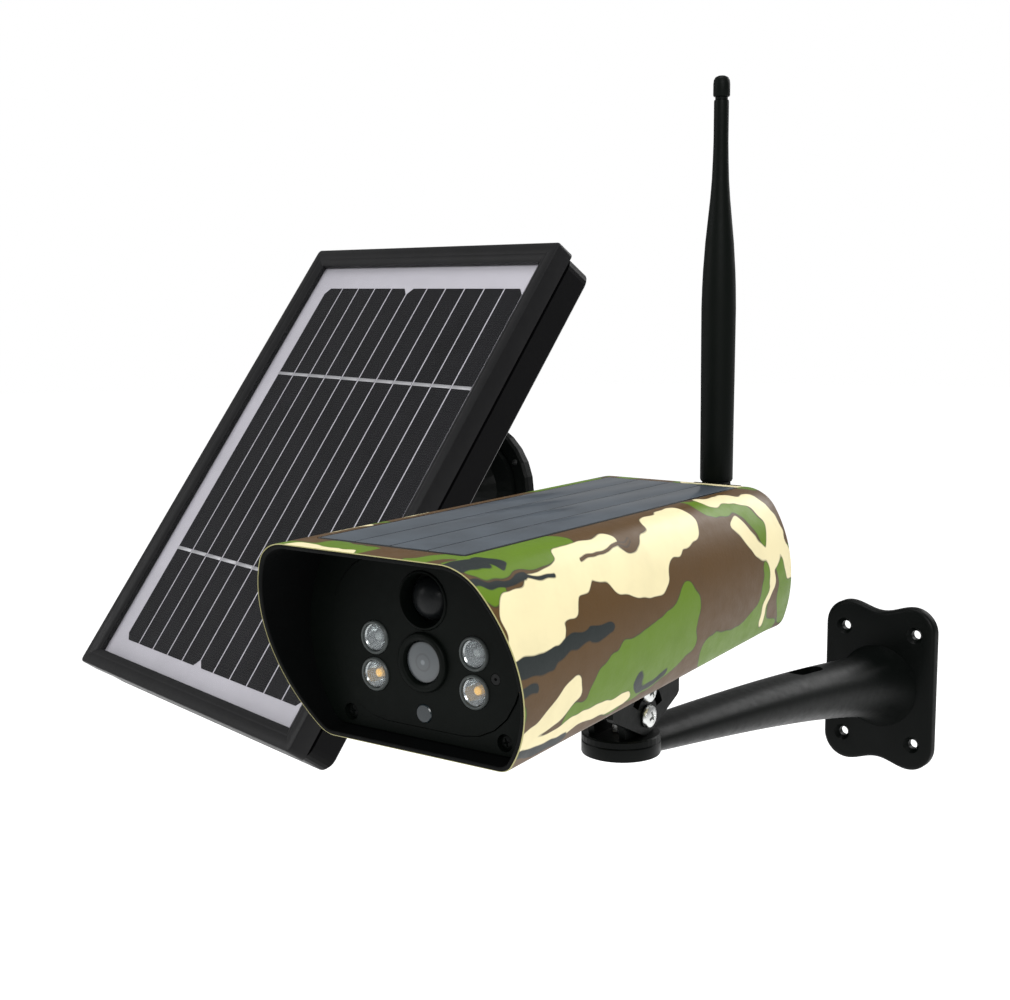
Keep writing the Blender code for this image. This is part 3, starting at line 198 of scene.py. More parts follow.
# Camouflage on the barrel's right-hand side. A stroke runs between two places, each a distance along the barrel in
# millimetres and an angle round it in degrees, and has its own half width in millimetres.
GREEN_STROKES = [
    (-160, 47, -108, 50, 7.5), (-166, 60, -154, 61, 3.0), (-100, 107, -66, 98, 9.5), (-62, 96, -42, 90, 9.5),
    (-78, 110, -44, 104, 8.5), (-118, 114, -84, 115, 6.0), (-8, 47, 16, 54, 5.0), (16, 54, 28, 70, 5.5),
    (42, 84, 46, 104, 9.0), (25, 84, 22, 102, 5.0), (20, 104, -6, 112, 6.0), (45, 46, 44, 34, 4.0),
    (-20, 111, 30, 115, 8.0), (-168, 30, -140, 40, 5.0), (36, 28, 46, -20, 6.0), (20, 150, 40, 140, 12.0),
    (-90, 150, -50, 160, 14.0), (-170, 112, -150, 104, 4.0),
]
CREAM_STROKES = [
    (-44, 56, -27, 55, 9.5), (-58, 64, -46, 61, 8.0), (-86, 67, -64, 69, 8.5), (-100, 63, -84, 66, 6.0),
    (-116, 58, -84, 54, 4.6), (-136, 66, -110, 64, 7.5), (-152, 70, -124, 70, 8.0), (-156, 79, -134, 82, 6.0),
    (-150, 75, -140, 76, 6.0), (8, 62, 16, 72, 3.0), (16, 72, 29, 80, 2.8), (29, 80, 29, 90, 2.4),
    (29, 90, 22, 108, 2.0), (31, 80, 39, 68, 5.2), (39, 68, 31, 54, 4.6), (31, 54, 0, 45, 3.6),
    (40, 70, 45, 90, 3.4), (-146, 116, -120, 103, 4.6), (-138, 121, -78, 115, 4.0), (-170, -30, -158, -6, 5.0),
    (46, 40, 46, 8, 4.0), (-40, 150, -10, 138, 9.0), (-120, 146, -104, 168, 8.0),
]
SLIVERS = [(-106, 60, -72, 56, 0.7), (-174, 38, -160, 40, 3.0)]
SLATE_STROKES = [
    (-166, 48, -156, 47, 3.4), (-166, 57, -140, 59, 1.4), (-140, 59, -124, 62, 0.7), (-162, 88, -136, 88, 3.2),
    (-136, 88, -110, 86, 2.0), (-110, 86, -98, 87, 2.6), (-74, 107, -68, 113, 1.6), (-66, 114, -52, 112, 1.4),
    (-158, 97, -142, 95, 1.3), (-160, 122, -116, 124, 2.4), (-152, 44, -148, 50, 2.2), (30, 128, 10, 140, 4.0),
]


def camouflage():
    """Cream, green and slate patches on brown. The left-hand side has the same patches, turned end for end."""
    turned_start = -121.0  # where the turned patches start along the barrel, in millimetres
    round_mm = BARREL_RADIUS * MM  # millimetres round the barrel for one radian
    look = Look("camouflage paint", BROWN, 0.42, Specular_IOR_Level=0.22)
    inverse = HEAD.inverted()
    local = look.node("ShaderNodeMapping", {"Vector": look.place, "Location": inverse.to_translation(),
                                            "Rotation": inverse.to_euler()})
    x, y, z = look.split(local.outputs[0])
    angle = look.math("ARCTAN2", x, look.math("SUBTRACT", z, BARREL_Z))
    left = look.math("LESS_THAN", angle, 0.0)
    swap = look.math("SUBTRACT", 1.0, look.math("MULTIPLY", left, 2.0))
    along = look.math("ADD", look.math("MULTIPLY", y, look.math("MULTIPLY", swap, MM)),
                      look.math("MULTIPLY", left, turned_start))
    # The pattern plane is in millimetres: along the barrel, and round it.
    around = look.math("MULTIPLY", look.math("ABSOLUTE", angle), round_mm)
    flat = look.node("ShaderNodeCombineXYZ", {0: along, 1: around}).outputs[0]
    place = flat
    for scale, reach in ((0.045, 9.0), (0.13, 4.0)):
        wander = look.node("ShaderNodeTexNoise", {"Vector": flat, "Scale": scale, "Detail": 0.0})
        shift = look.vector("SUBTRACT", wander.outputs["Color"], (0.5, 0.5, 0.5))
        place = look.vector("ADD", place, look.vector("MULTIPLY", shift, (reach, reach, 0.0)))

    def patch(strokes, blend):
        """Distance to the nearest stroke's edge in millimetres, negative inside."""
        nearest = None
        for y0, a0, y1, a1, half in strokes:
            start = Vector((y0, math.radians(a0) * round_mm, 0))
            run = Vector((y1, math.radians(a1) * round_mm, 0)) - start
            offset = look.vector("SUBTRACT", place, tuple(start))
            share = look.math("MULTIPLY", look.vector("DOT_PRODUCT", offset, tuple(run)), 1 / run.length_squared,
                              clamp=True)
            foot = look.node("ShaderNodeVectorMath", {0: tuple(run), "Scale": share}, operation="SCALE")
            gap = look.vector("LENGTH", look.vector("SUBTRACT", offset, foot.outputs[0]))
            edge = look.math("SUBTRACT", gap, half)
            nearest = edge if nearest is None else look.math("SMOOTH_MIN", nearest, edge, blend)
        return nearest

    colour = BROWN
    for strokes, blend, paint in ((GREEN_STROKES, 6.0, GREEN), (CREAM_STROKES, 3.5, CREAM), (SLIVERS, 0.5, BROWN),
                                  (SLATE_STROKES, 1.5, SLATE)):
        distance = patch(strokes, blend)
        # Each patch has a faint dark line round its edge.
        rim = look.span(look.math("ABSOLUTE", distance), 0.18, 0.42, 0.45, 0.0)
        colour = look.mix(look.span(distance, 0.12, -0.12), colour, paint)
        colour = look.mix(rim, colour, SLATE)
    tone = look.noise(45, 4)
    colour = look.mix(look.span(tone, 0.45, 0.75, 0.0, 0.10), colour, SLATE)
    # The bare, cut front edge, along the hood's sloping front.
    height = look.math("SUBTRACT", BARREL_Z + BARREL_TOP, z)
    edge = look.math("SUBTRACT", look.math("SUBTRACT", y, FACE_Y - HOOD_TOP), look.math("MULTIPLY", height, HOOD_SLOPE))
    colour = look.mix(look.span(edge, 0.0004, 0.0002), colour, srgb(150, 146, 100))
    look.set("Base Color", colour)
    look.set("Roughness", look.span(look.noise(180, 4), 0.3, 0.7, 0.36, 0.48))
    look.bump(look.noise(700, 2), 0.00004)
    return look.material


def brushed(name, colour, roughness):
    """Plated steel with turning marks."""
    look = Look(name, colour, roughness, 1.0)
    marks = look.noise(5200, 2)
    look.set("Base Color", look.mix(look.span(look.noise(300, 4), 0.35, 0.7), tuple(c * 0.8 for c in colour), colour))
    look.set("Roughness", look.span(marks, 0.3, 0.7, roughness - 0.06, roughness + 0.10))
    look.bump(marks, 0.00002)
    return look.material


def circuit():
    """Solder mask with tracks and pads."""
    look = Look("circuit board", srgb(20, 88, 52), 0.38)
    tracks = look.node("ShaderNodeTexBrick", {"Vector": look.place, "Scale": 160.0, "Mortar Size": 0.035,
                                              "Color1": (0, 0, 0, 1), "Color2": (0, 0, 0, 1), "Mortar": (1, 1, 1, 1)})
    pads = look.node("ShaderNodeTexVoronoi", {"Vector": look.place, "Scale": 420.0})
    dots = look.span(pads.outputs["Distance"], 0.16, 0.20, 1.0, 0.0)
    colour = look.mix(look.math("MULTIPLY", tracks.outputs["Color"], 0.6), srgb(14, 74, 42), srgb(38, 124, 76))
    look.set("Base Color", look.mix(dots, colour, srgb(196, 182, 132)))
    look.set("Metallic", look.math("MULTIPLY", dots, 0.9))
    look.bump(look.math("ADD", dots, tracks.outputs["Color"]), 0.00004)
    return look.material


def cell_wrap():
    """Blue shrink wrap with pale bands."""
    look = Look("cell wrap", srgb(44, 110, 172), 0.32)
    bands = look.math("SINE", look.math("MULTIPLY", look.split()[1], 420.0))
    look.set("Base Color", look.mix(look.span(bands, 0.90, 0.94), srgb(38, 102, 168), srgb(208, 214, 218)))
    look.bump(look.noise(400, 3), 0.00006)
    return look.material


def silicon(name, colour, finger_axis, pitch, shine):
    """A dark wafer under clear film, with hairline silver fingers."""
    look = Look(name, colour, 0.24, Coat_Weight=shine, Coat_Roughness=0.12, Specular_IOR_Level=0.12)
    parts = look.split()
    wave = look.math("SINE", look.math("MULTIPLY", parts[finger_axis], 2 * math.pi / pitch))
    fingers = look.span(wave, 0.93, 0.99, 0.0, 0.06)
    cloud = look.noise(38, 4)
    grainy = look.noise(900, 3)
    base = look.mix(look.span(cloud, 0.35, 0.7), tuple(c * 0.80 for c in colour), tuple(c * 1.18 for c in colour))
    base = look.mix(look.span(grainy, 0.5, 0.8, 0.0, 0.12), base, tuple(c * 1.4 for c in colour))
    look.set("Base Color", look.mix(fingers, base, srgb(150, 152, 158)))
    look.set("Roughness", look.span(cloud, 0.3, 0.7, 0.30, 0.40))
    return look.material


def clear(name, colour, alpha, roughness=0.04):
    """Clear glass or plastic with faint smears."""
    look = Look(name, colour, roughness, Alpha=alpha, Specular_IOR_Level=0.5)
    smears = look.noise(60, 4)
    look.set("Roughness", look.span(smears, 0.4, 0.7, roughness, roughness + 0.06))
    return look.material


COATING = surface("black powder coat", srgb(6, 8, 7), 0.40, grain=1500, relief=0.00004, Specular_IOR_Level=0.07)
PLASTIC = surface("black moulded plastic", srgb(6, 9, 7), 0.48, Specular_IOR_Level=0.06)
PANEL_PLASTIC = surface("dark moulded frame", srgb(20, 20, 21), 0.40, grain=1800, Specular_IOR_Level=0.13)
BOX_PLASTIC = surface("black moulded box", srgb(6, 6, 7), 0.46, grain=1800, Specular_IOR_Level=0.07)
GLOSS = surface("gloss black", srgb(7, 9, 9), 0.16, grain=300, relief=0.00001, spread=0.04, Specular_IOR_Level=0.2)
RUBBER = surface("rubber", srgb(18, 19, 19), 0.72, grain=900, relief=0.00006, Specular_IOR_Level=0.2)
HOOD_LINING = surface("hood lining", srgb(5, 6, 6), 0.62, grain=900, relief=0.00005, Specular_IOR_Level=0.05)
STEEL = brushed("zinc plated steel", (0.66, 0.67, 0.66), 0.26)
REFLECTOR = surface("vacuum coated reflector", (0.30, 0.32, 0.32), 0.14, 1.0, grain=60, relief=0.00001, spread=0.03)
CIRCUIT, WRAP = circuit(), cell_wrap()
WINDOW = clear("clear window", srgb(225, 232, 236), 0.10)
COVER_GLASS = clear("cover glass", srgb(10, 11, 12), 0.08, 0.10)
SMOKED = surface("smoked window", srgb(24, 32, 36), 0.16, grain=300, relief=0.00001, spread=0.04)
CAMOUFLAGE = camouflage()
ROOF_CELL = silicon("roof cell", srgb(66, 73, 80), 0, 0.0015, 0.25)
PANEL_CELL = silicon("panel cell", srgb(20, 20, 23), 1, 0.0016, 0.0)
BACK_SHEET = surface("back sheet", srgb(184, 182, 190), 0.55, grain=1200, relief=0.00002, mottle=0.04)
RIBBON = surface("tinned ribbon", srgb(176, 176, 180), 0.38, 0.6, grain=900, relief=0.00004)

SLOT_LOOKS = {
    "shell_camouflage": CAMOUFLAGE, "black_coating": COATING, "black_plastic": PLASTIC, "gloss_black": GLOSS,
    "rubber": RUBBER, "clear_window": WINDOW, "dark_glass": SMOKED, "reflector": REFLECTOR, "steel": STEEL,
    "circuit_board": CIRCUIT, "cell_wrap": WRAP, "solar_cell": ROOF_CELL,
}
NODE_LOOKS = {"panel_glass": COVER_GLASS, "panel_rear_box": BOX_PLASTIC, "junction_box": BOX_PLASTIC}


def dress_frame():
    """Every CAD node gets its material and smooth round faces, with edges over 30 degrees kept sharp."""
    for part in frame["record"]["subparts"]:
        node = NODES[part["node"]]
        node.data.materials.clear()
        node.data.materials.append(NODE_LOOKS.get(part["node"], SLOT_LOOKS[part["material_slot"]]))
        node.data.shade_smooth()
        node.data.set_sharp_from_angle(angle=math.radians(30))


# Shapes

def smooth(data):
    """Smooth shading that keeps the sharp edges."""
    data.shade_smooth()
    data.set_sharp_from_angle(angle=SHARP_ANGLE)


def mesh_object(name, mesh, place):
    """A new object in the scene from a bmesh, which is freed."""
    bmesh.ops.recalc_face_normals(mesh, faces=mesh.faces)
    data = bpy.data.meshes.new(name)
    mesh.to_mesh(data)
    mesh.free()
    made = bpy.data.objects.new(name, data)
    bpy.context.scene.collection.objects.link(made)
    made.matrix_world = place
    return made


def piece(name, mesh, body, look, place=HEAD, nodes=(), bevel=0.0, own_frame=True):
    """A finished piece on a body, which stands for the named CAD nodes. Without a frame of its own, its place goes
    into its vertices."""
    if not own_frame:
        bmesh.ops.transform(mesh, matrix=place, verts=mesh.verts)
        place = Matrix()
    made = mesh_object(name, mesh, place)
    smooth(made.data)
    made.data.materials.append(look)
    if bevel:
        rounding = made.modifiers.new("rounded edges", "BEVEL")
        rounding.width, rounding.segments, rounding.limit_method = bevel, 2, "ANGLE"
        rounding.angle_limit = math.radians(40)
        rounding.harden_normals = True
    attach(made, body)
    if nodes:
        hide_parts(*nodes)
    return made


def skin(rings, closed=False, shape=None):
    """A mesh through rings of equal length, or single points at its ends."""
    shape = shape or bmesh.new()
    rows = [[shape.verts.new(point) for point in ring] for ring in rings]
    pairs = list(zip(rows, rows[1:])) + ([(rows[-1], rows[0])] if closed else [])
    for low, high in pairs:
        for i in range(max(len(low), len(high))):
            j = (i + 1) % max(len(low), len(high))
            corners = [low[i % len(low)], low[j % len(low)], high[j % len(high)], high[i % len(high)]]
            shape.faces.new(list(dict.fromkeys(corners)))
    if not closed:
        for row in (rows[0], rows[-1]):
            if len(row) > 2:
                shape.faces.new(row)
    return shape


def arc(cx, cy, radius, start, end, steps):
    """Points along an arc, both ends included."""
    return [(cx + radius * math.cos(start + (end - start) * i / steps),
             cy + radius * math.sin(start + (end - start) * i / steps)) for i in range(steps + 1)]


def circle(radius, steps, cx=0, cy=0):
    """Points round a circle."""
    return arc(cx, cy, radius, 0, 2 * math.pi, steps)[:-1]


def turned(profile, steps=64, closed=False):
    """A solid of revolution about local Z from (radius, height) pairs."""
    rings = []
    for radius, height in profile:
        if radius < 1e-7:
            rings.append([(0, 0, height)])
        else:
            rings.append([(x, y, height) for x, y in circle(radius, steps)])
    return skin(rings, closed)


def rectangle(width, height, radius, steps=6, centre=(0, 0)):
    """Points round a rectangle with rounded corners."""
    x, y = width / 2 - radius, height / 2 - radius
    points = []
    for sx, sy, start in ((1, -1, -1), (1, 1, 0), (-1, 1, 1), (-1, -1, 2)):
        points += arc(centre[0] + sx * x, centre[1] + sy * y, radius, start * math.pi / 2, (start + 1) * math.pi / 2,
                      steps)
    return points


def slab(outline, low, high, edge, shape=None):
    """A plate with a small rounded edge on its top side. The outline is convex enough to shrink towards its middle."""
    cx = sum(p[0] for p in outline) / len(outline)
    cy = sum(p[1] for p in outline) / len(outline)
    wide = max(abs(p[0] - cx) for p in outline)
    tall = max(abs(p[1] - cy) for p in outline)

    def ring(inset, height):
        return [(cx + (x - cx) * (1 - inset / wide), cy + (y - cy) * (1 - inset / tall), height) for x, y in outline]

    levels = [(0, low), (0, high - edge), (edge * 0.3, high - edge * 0.3), (edge, high)]
    return skin([ring(*level) for level in levels], shape=shape)


def barrel_outline(inset, rise):
    """The barrel's cross-section as (x, height from its centre), where its underside has risen so far."""
    radius, top, bottom = BARREL_RADIUS - inset, BARREL_TOP - inset, BARREL_BOTTOM - inset - rise
    top_corner, bottom_corner = 0.016 - inset, 0.008 - inset
    top_x = math.sqrt((radius - top_corner) ** 2 - (top - top_corner) ** 2)
    bottom_x = math.sqrt((radius - bottom_corner) ** 2 - (bottom - bottom_corner) ** 2)
    top_angle, bottom_angle = math.atan2(top - top_corner, top_x), -math.atan2(bottom - bottom_corner, bottom_x)
    right = arc(bottom_x, bottom_corner - bottom, bottom_corner, -math.pi / 2, bottom_angle, 10)
    right += arc(0, 0, radius, bottom_angle, top_angle, 56)[1:]
    right += arc(top_x, top - top_corner, top_corner, top_angle, math.pi / 2, 16)[1:]
    return right + [(-x, z) for x, z in reversed(right)]


def hood_front(z):
    """The y of the hood's front edge at a height from the barrel's centre."""
    return FACE_Y - HOOD_TOP + HOOD_SLOPE * (BARREL_TOP - z)


def subtract(target, mesh, place):
    """Cuts a bmesh, placed in the world, from an object for good."""
    cutter = mesh_object("cutter", mesh, place)
    step = target.modifiers.new("cut", "BOOLEAN")
    step.operation, step.solver, step.object = "DIFFERENCE", "EXACT", cutter
    bpy.context.view_layer.update()
    graph = bpy.context.evaluated_depsgraph_get()
    result = bpy.data.meshes.new_from_object(target.evaluated_get(graph))
    target.modifiers.remove(step)
    target.data = result
    bpy.data.objects.remove(cutter)
    smooth(result)


def outer_shell():
    """The painted sleeve with rolled front and rear edges, and its black lining."""
    def front(inset, shift, rise=0.0):
        return [(x, hood_front(z) + shift, BARREL_Z + z) for x, z in barrel_outline(inset, rise)]

    def ring(inset, y):
        share = (min(y, UNDERSIDE_END) - UNDERSIDE_FRONT) / (UNDERSIDE_END - UNDERSIDE_FRONT)
        return [(x, y, BARREL_Z + z) for x, z in barrel_outline(inset, UNDERSIDE_RISE * share)]

    wall, rear, roof_gap = SHELL_WALL, 0.047, 0.0008
    rings = [ring(0, rear - 0.0004), ring(0, UNDERSIDE_END), front(0, 0.0004), front(0.00008, 0.0001),
             front(0.0002, 0.0), front(0.00034, 0.0), front(0.00036, 0.0004), front(wall, 0.0004),
             ring(wall, UNDERSIDE_END), ring(wall, rear), ring(0.0004, rear), ring(0.0001, rear - 0.0001)]
    shell = piece("shell_skin", skin(rings, closed=True), "camera_head", CAMOUFLAGE,
                  nodes=["outer_shell"], own_frame=False)
    length, middle = ROOF_REAR - ROOF_FRONT, (ROOF_REAR + ROOF_FRONT) / 2
    window = rectangle(ROOF_WIDTH + roof_gap, length + roof_gap, 0.002)
    opening = skin([[(x, y, z) for x, y in window] for z in (0.085, 0.100)])
    subtract(shell, opening, HEAD @ Matrix.Translation((0, middle, 0)))
    foot_screw_y, hole_radius = 0.022, 0.0024
    holes = bmesh.new()
    for y in (-foot_screw_y, foot_screw_y):
        skin([[(px, py + y, z) for px, py in circle(hole_radius, 24)] for z in (-0.003, 0.005)], shape=holes)
    slope = math.atan2(UNDERSIDE_RISE, UNDERSIDE_END - UNDERSIDE_FRONT)
    low = BARREL_Z - BARREL_BOTTOM - UNDERSIDE_FRONT * math.tan(slope)
    subtract(shell, holes, HEAD @ Matrix.Translation((0, 0, low)) @ Matrix.Rotation(slope, 4, "X"))

    # The lining reaches 6 mm behind the face, and its lip covers the hood's inner edge.
    back = FACE_Y + 0.006
    rings = [front(0.00040, 0.00035), front(wall + 0.00005, 0.00035), ring(wall + 0.00005, back),
             ring(wall + 0.00030, back), front(wall + 0.00030, 0.0004), front(wall, 0.0001), front(0.0006, 0.0),
             front(0.00040, 0.0001)]
    piece("hood_lining", skin(rings, closed=True), "camera_head", HOOD_LINING, own_frame=False)


def wall_bracket():
    """Wall plate with four countersunk holes, a smooth hollow arm and the disc at its tip."""
    root_y, root_z, root_half_z, root_half_x = -0.003, -0.001, 0.0172, 0.0172
    tip_y, tip_z, tip_half_z, tip_half_x = DISC_RADIUS * 0.55 - ARM_REACH, 0.0275, 0.0064, 0.0118
    flare_reach, flare_rate, sag = 0.0075, 22, 0.33

    def section(share):
        """The arm's oval section, from its tip at 0 to its flared root at 1."""
        y = tip_y * (1 - share) + root_y * share
        z = tip_z + (root_z - tip_z) * share * (1 - sag + sag * share * share)
        flare = flare_reach * math.exp(-(1 - share) * flare_rate)
        wide = tip_half_x + (root_half_x - tip_half_x) * share + flare
        tall = tip_half_z + (root_half_z - tip_half_z) * share + flare
        return [(wide * cx, y, z + tall * cz) for cx, cz in circle(1, 64)]

    half_x, half_z, corner, waist = 0.032, 0.0455, 0.0135, 0.004
    lobe_x, lobe_z, waist_steps = half_x - corner, half_z - corner, 28
    top = arc(lobe_x, lobe_z, corner, 0, math.pi / 2, 14)
    for i in range(1, waist_steps):
        x = lobe_x - 2 * lobe_x * i / waist_steps
        top.append((x, half_z - waist * math.cos(math.pi * x / (2 * lobe_x)) ** 2))
    top += arc(-lobe_x, lobe_z, corner, math.pi / 2, math.pi, 14)
    outline = top + [(-x, -z) for x, z in top]
    levels = ((0, 1.0), (0.0044, 1.0), (0.0053, 0.988), (0.0058, 0.965), (0.006, 0.94))
    plate = skin([[(x * scale, -depth, z * scale) for x, z in outline] for depth, scale in levels])
    bracket = piece("wall_bracket", plate, "wall_mounts", COATING, Matrix(), ["wall_arm"])
    hole_x, hole_z, hole_radius, sink_radius = 0.02075, 0.03075, 0.0026, 0.0050
    sink = [(0, 0.002), (hole_radius, 0.002), (hole_radius, -0.0036), (sink_radius, -0.0065), (0, -0.0065)]
    holes = bmesh.new()
    for x in (-hole_x, hole_x):
        for z in (-hole_z, hole_z):
            skin([[(x + px, height, z + pz) for px, pz in (circle(r, 32) if r else [(0, 0)])] for r, height in sink],
                 shape=holes)
    subtract(bracket, holes, Matrix())

    arm_steps = 44
    tube = skin([section((i / arm_steps) ** 0.8) for i in range(arm_steps + 1)])
    arm = piece("bracket_arm", tube, "wall_mounts", COATING, Matrix())
    clearance = [[(x, y, z) for x, y in circle(0.0184, 64, 0, -ARM_REACH)] for z in (DISC_TOP, DISC_TOP + 0.03)]
    subtract(arm, skin(clearance), Matrix())
    slot = rectangle(0.009, 0.028, 0.0044, 8, (0, -0.091))
    subtract(arm, skin([[(x, y, z) for x, y in slot] for z in (0.012, 0.05)]), Matrix())
    bore = [[(x, y, z) for x, z in circle(BORE_RADIUS, 40, 0, BORE_Z)] for y in (0.002, -BORE_DEPTH)]
    subtract(bracket, skin(bore), Matrix())
    subtract(arm, skin(bore), Matrix())

    edge, bolt_seat, bolt_radius = 0.0007, DISC_BOTTOM + 0.0022, 0.0056
    disc = [(0, bolt_seat), (bolt_radius, bolt_seat), (bolt_radius, DISC_BOTTOM), (DISC_RADIUS - edge, DISC_BOTTOM),
            (DISC_RADIUS - edge * 0.3, DISC_BOTTOM + edge * 0.3), (DISC_RADIUS, DISC_BOTTOM + edge),
            (DISC_RADIUS, DISC_TOP - 0.0004), (DISC_RADIUS - 0.0003, DISC_TOP), (0, DISC_TOP)]
    piece("bracket_disc", turned(disc), "wall_mounts", COATING,
          Matrix.Translation((0, -ARM_REACH, 0)))


def roof_panel():
    """Laminate with a satin film and the fine joints between its cells."""
    length, middle = ROOF_REAR - ROOF_FRONT, (ROOF_REAR + ROOF_FRONT) / 2
    place = HEAD @ Matrix.Translation((0, middle, ROOF_Z))
    piece("roof_sheet", slab(rectangle(ROOF_WIDTH, length, 0.0016), -0.0016, -0.00015, 0.0002), "camera_head",
          GLOSS, place, ["roof_solar_panel"])
    strips = bmesh.new()
    columns, gap, margin = 4, 0.0007, 0.0022
    width = (ROOF_WIDTH - margin - gap * (columns - 1)) / columns
    for i in range(columns):
        x = (i - (columns - 1) / 2) * (width + gap)
        slab(rectangle(width, length - 0.0030, 0.0004, 2, (x, 0)), -0.0004, -0.00002, 0.00005, strips)
    piece("roof_cells", strips, "camera_head", ROOF_CELL, place)


def front_parts():
    """Lens, lamps, motion sensor and the small windows round them. Profiles are (radius, height) pairs."""
    lens = FRONT @ Matrix.Translation((0, LENS_Z, 0))
    inner = LENS_RADIUS + 0.0002
    collar = [(inner, -0.0040), (COLLAR_RADIUS, -0.0040), (COLLAR_RADIUS, 0.0009), (COLLAR_RADIUS - 0.0002, 0.0014),
              (COLLAR_RADIUS - 0.0007, 0.0018), (COLLAR_RADIUS - 0.0014, 0.0019), (inner + 0.0009, 0.0018),
              (inner + 0.0003, 0.0014), (inner, 0.0006)]
    piece("lens_bezel", turned(collar, closed=True), "camera_head", PLASTIC, lens, ["lens_collar"])
    dome = [(0, -0.0014), (LENS_RADIUS, -0.0014), (LENS_RADIUS, -0.0004), (LENS_RADIUS - 0.0004, 0.0000),
            (LENS_RADIUS * 0.6, 0.0003), (0, 0.0005)]
    cover = Look("lens cover", srgb(74, 78, 80), 0.30, Coat_Weight=0.4, Coat_Roughness=0.08)
    x, y, _ = cover.split()
    radius = cover.math("SQRT", cover.math("ADD", cover.math("POWER", x, 2.0), cover.math("POWER", y, 2.0)))
    iris = cover.span(radius, 0.0006, 0.0011)
    ring = cover.span(cover.math("ABSOLUTE", cover.math("SUBTRACT", radius, 0.0030)), 0.0002, 0.0005)
    tone = cover.mix(iris, srgb(92, 98, 102), srgb(58, 63, 66))
    tone = cover.mix(ring, srgb(48, 52, 55), tone)
    cover.set("Base Color", cover.mix(cover.span(radius, 0.0064, 0.0074), tone, srgb(40, 43, 44)))
    piece("lens_cover", turned(dome), "camera_head", cover.material, lens, ["lens_window"])

    cup_radius = PIR_RADIUS - 0.0010
    cup = [(0, -0.0080), (PIR_RADIUS, -0.0080), (PIR_RADIUS, 0.0001), (PIR_RADIUS - 0.0003, 0.0005),
           (PIR_RADIUS - 0.0008, 0.0006), (cup_radius, 0.0002), (cup_radius - 0.0003, -0.0066), (0, -0.0066)]
    sensor = FRONT @ Matrix.Translation((0, PIR_Z, 0))
    piece("motion_cup", turned(cup), "camera_head", PLASTIC, sensor, ["motion_sensor_cup"])
    radius, height, base, rim, steps = 0.0080, 0.0054, -0.0063, 0.0006, 12
    bowl = [(radius * math.cos(a), base + rim + height * math.sin(a))
            for a in (math.pi / 2 * i / steps for i in range(steps))]
    facets = surface("fresnel dome", srgb(14, 16, 17), 0.34, grain=420, relief=0.0001, Specular_IOR_Level=0.14)
    piece("motion_dome", turned([(0, base), (radius, base), *bowl, (0, base + rim + height)]), "camera_head",
          facets, sensor, ["motion_sensor_dome"])
    window = [(0, -0.0030), (SENSOR_RADIUS, -0.0030), (SENSOR_RADIUS, 0.0001), (SENSOR_RADIUS - 0.0003, 0.0004),
              (0, 0.00045)]
    piece("light_window", turned(window, 40), "camera_head", SMOKED,
          FRONT @ Matrix.Translation((0, SENSOR_Z, 0)), ["light_sensor_window"])

    rim_look = surface("lamp rim", srgb(58, 62, 61), 0.34, grain=900, Specular_IOR_Level=0.3)
    clear_die = surface("clear emitter", srgb(96, 104, 102), 0.25)
    amber_die = surface("amber emitter", srgb(236, 178, 44), 0.30, Specular_IOR_Level=0.2)
    for side, x in (("left", -LED_X), ("right", LED_X)):
        for level, z, die in (("high", LED_HIGH, clear_die), ("low", LED_LOW, amber_die)):
            place = FRONT @ Matrix.Translation((x, z, 0))
            cup = [(0.0016, -0.0080), (LED_RADIUS - 0.0012, -0.0080), (LED_RADIUS - 0.0012, -0.0002),
                   (LED_RADIUS - 0.0017, -0.0006), (LED_RADIUS - 0.0024, -0.0034), (0.0016, -0.0060)]
            piece(f"lamp_cup_{side}_{level}", turned(cup, 48, closed=True), "camera_head", REFLECTOR,
                  place, [f"led_reflector_{side}_{level}"])
            ring = [(LED_RADIUS - 0.0011, -0.0030), (LED_RADIUS, -0.0030), (LED_RADIUS, 0.0004),
                    (LED_RADIUS - 0.0004, 0.0009), (LED_RADIUS - 0.0009, 0.0008), (LED_RADIUS - 0.0011, 0.0003)]
            piece(f"lamp_rim_{side}_{level}", turned(ring, 48, closed=True), "camera_head", rim_look,
                  place)
            chip = turned([(0, -0.0062), (0.0017, -0.0062), (0.0017, -0.0026), (0.0015, -0.0018), (0.0009, -0.0013),
                           (0, -0.0012)], 28)
            piece(f"lamp_die_{side}_{level}", chip, "camera_head", die, place)
            radius, base, height, steps = LED_RADIUS - 0.0013, -0.0002, 0.0021, 9
            bowl = [(radius * math.cos(a), base + height * math.sin(a))
                    for a in (math.pi / 2 * i / steps for i in range(steps))]
            dome = turned([(0, base * 2), (radius, base * 2), *bowl, (0, base + height)], 40)
            piece(f"lamp_lens_{side}_{level}", dome, "camera_head", WINDOW, place)


def screw(name, place, body, radius, height, node, shank, look=STEEL):
    """A domed head with a cross recess. The shank, given as (radius, length), runs down local -Z."""
    rim, (shank_radius, length) = height * 0.35, shank
    profile = [(0, -length), (shank_radius, -length), (shank_radius, -0.00002), (radius * 0.97, 0),
               (radius, rim * 0.4), (radius, rim), (radius * 0.90, height * 0.72), (radius * 0.68, height * 0.93),
               (radius * 0.4, height), (0, height)]
    made = piece(name, turned(profile, 40), body, look, place, [node])
    cross = bmesh.new()
    long, wide = radius * 0.56, radius * 0.13
    plus = [(long, wide), (wide, wide), (wide, long), (-wide, long), (-wide, wide), (-long, wide), (-long, -wide),
            (-wide, -wide), (-wide, -long), (wide, -long), (wide, -wide), (long, -wide)]
    skin([[(x * s, y * s, z) for x, y in plus] for s, z in ((0.55, height * 0.35), (1.15, height * 1.3))], shape=cross)
    subtract(made, cross, place @ turn(20, "Z"))


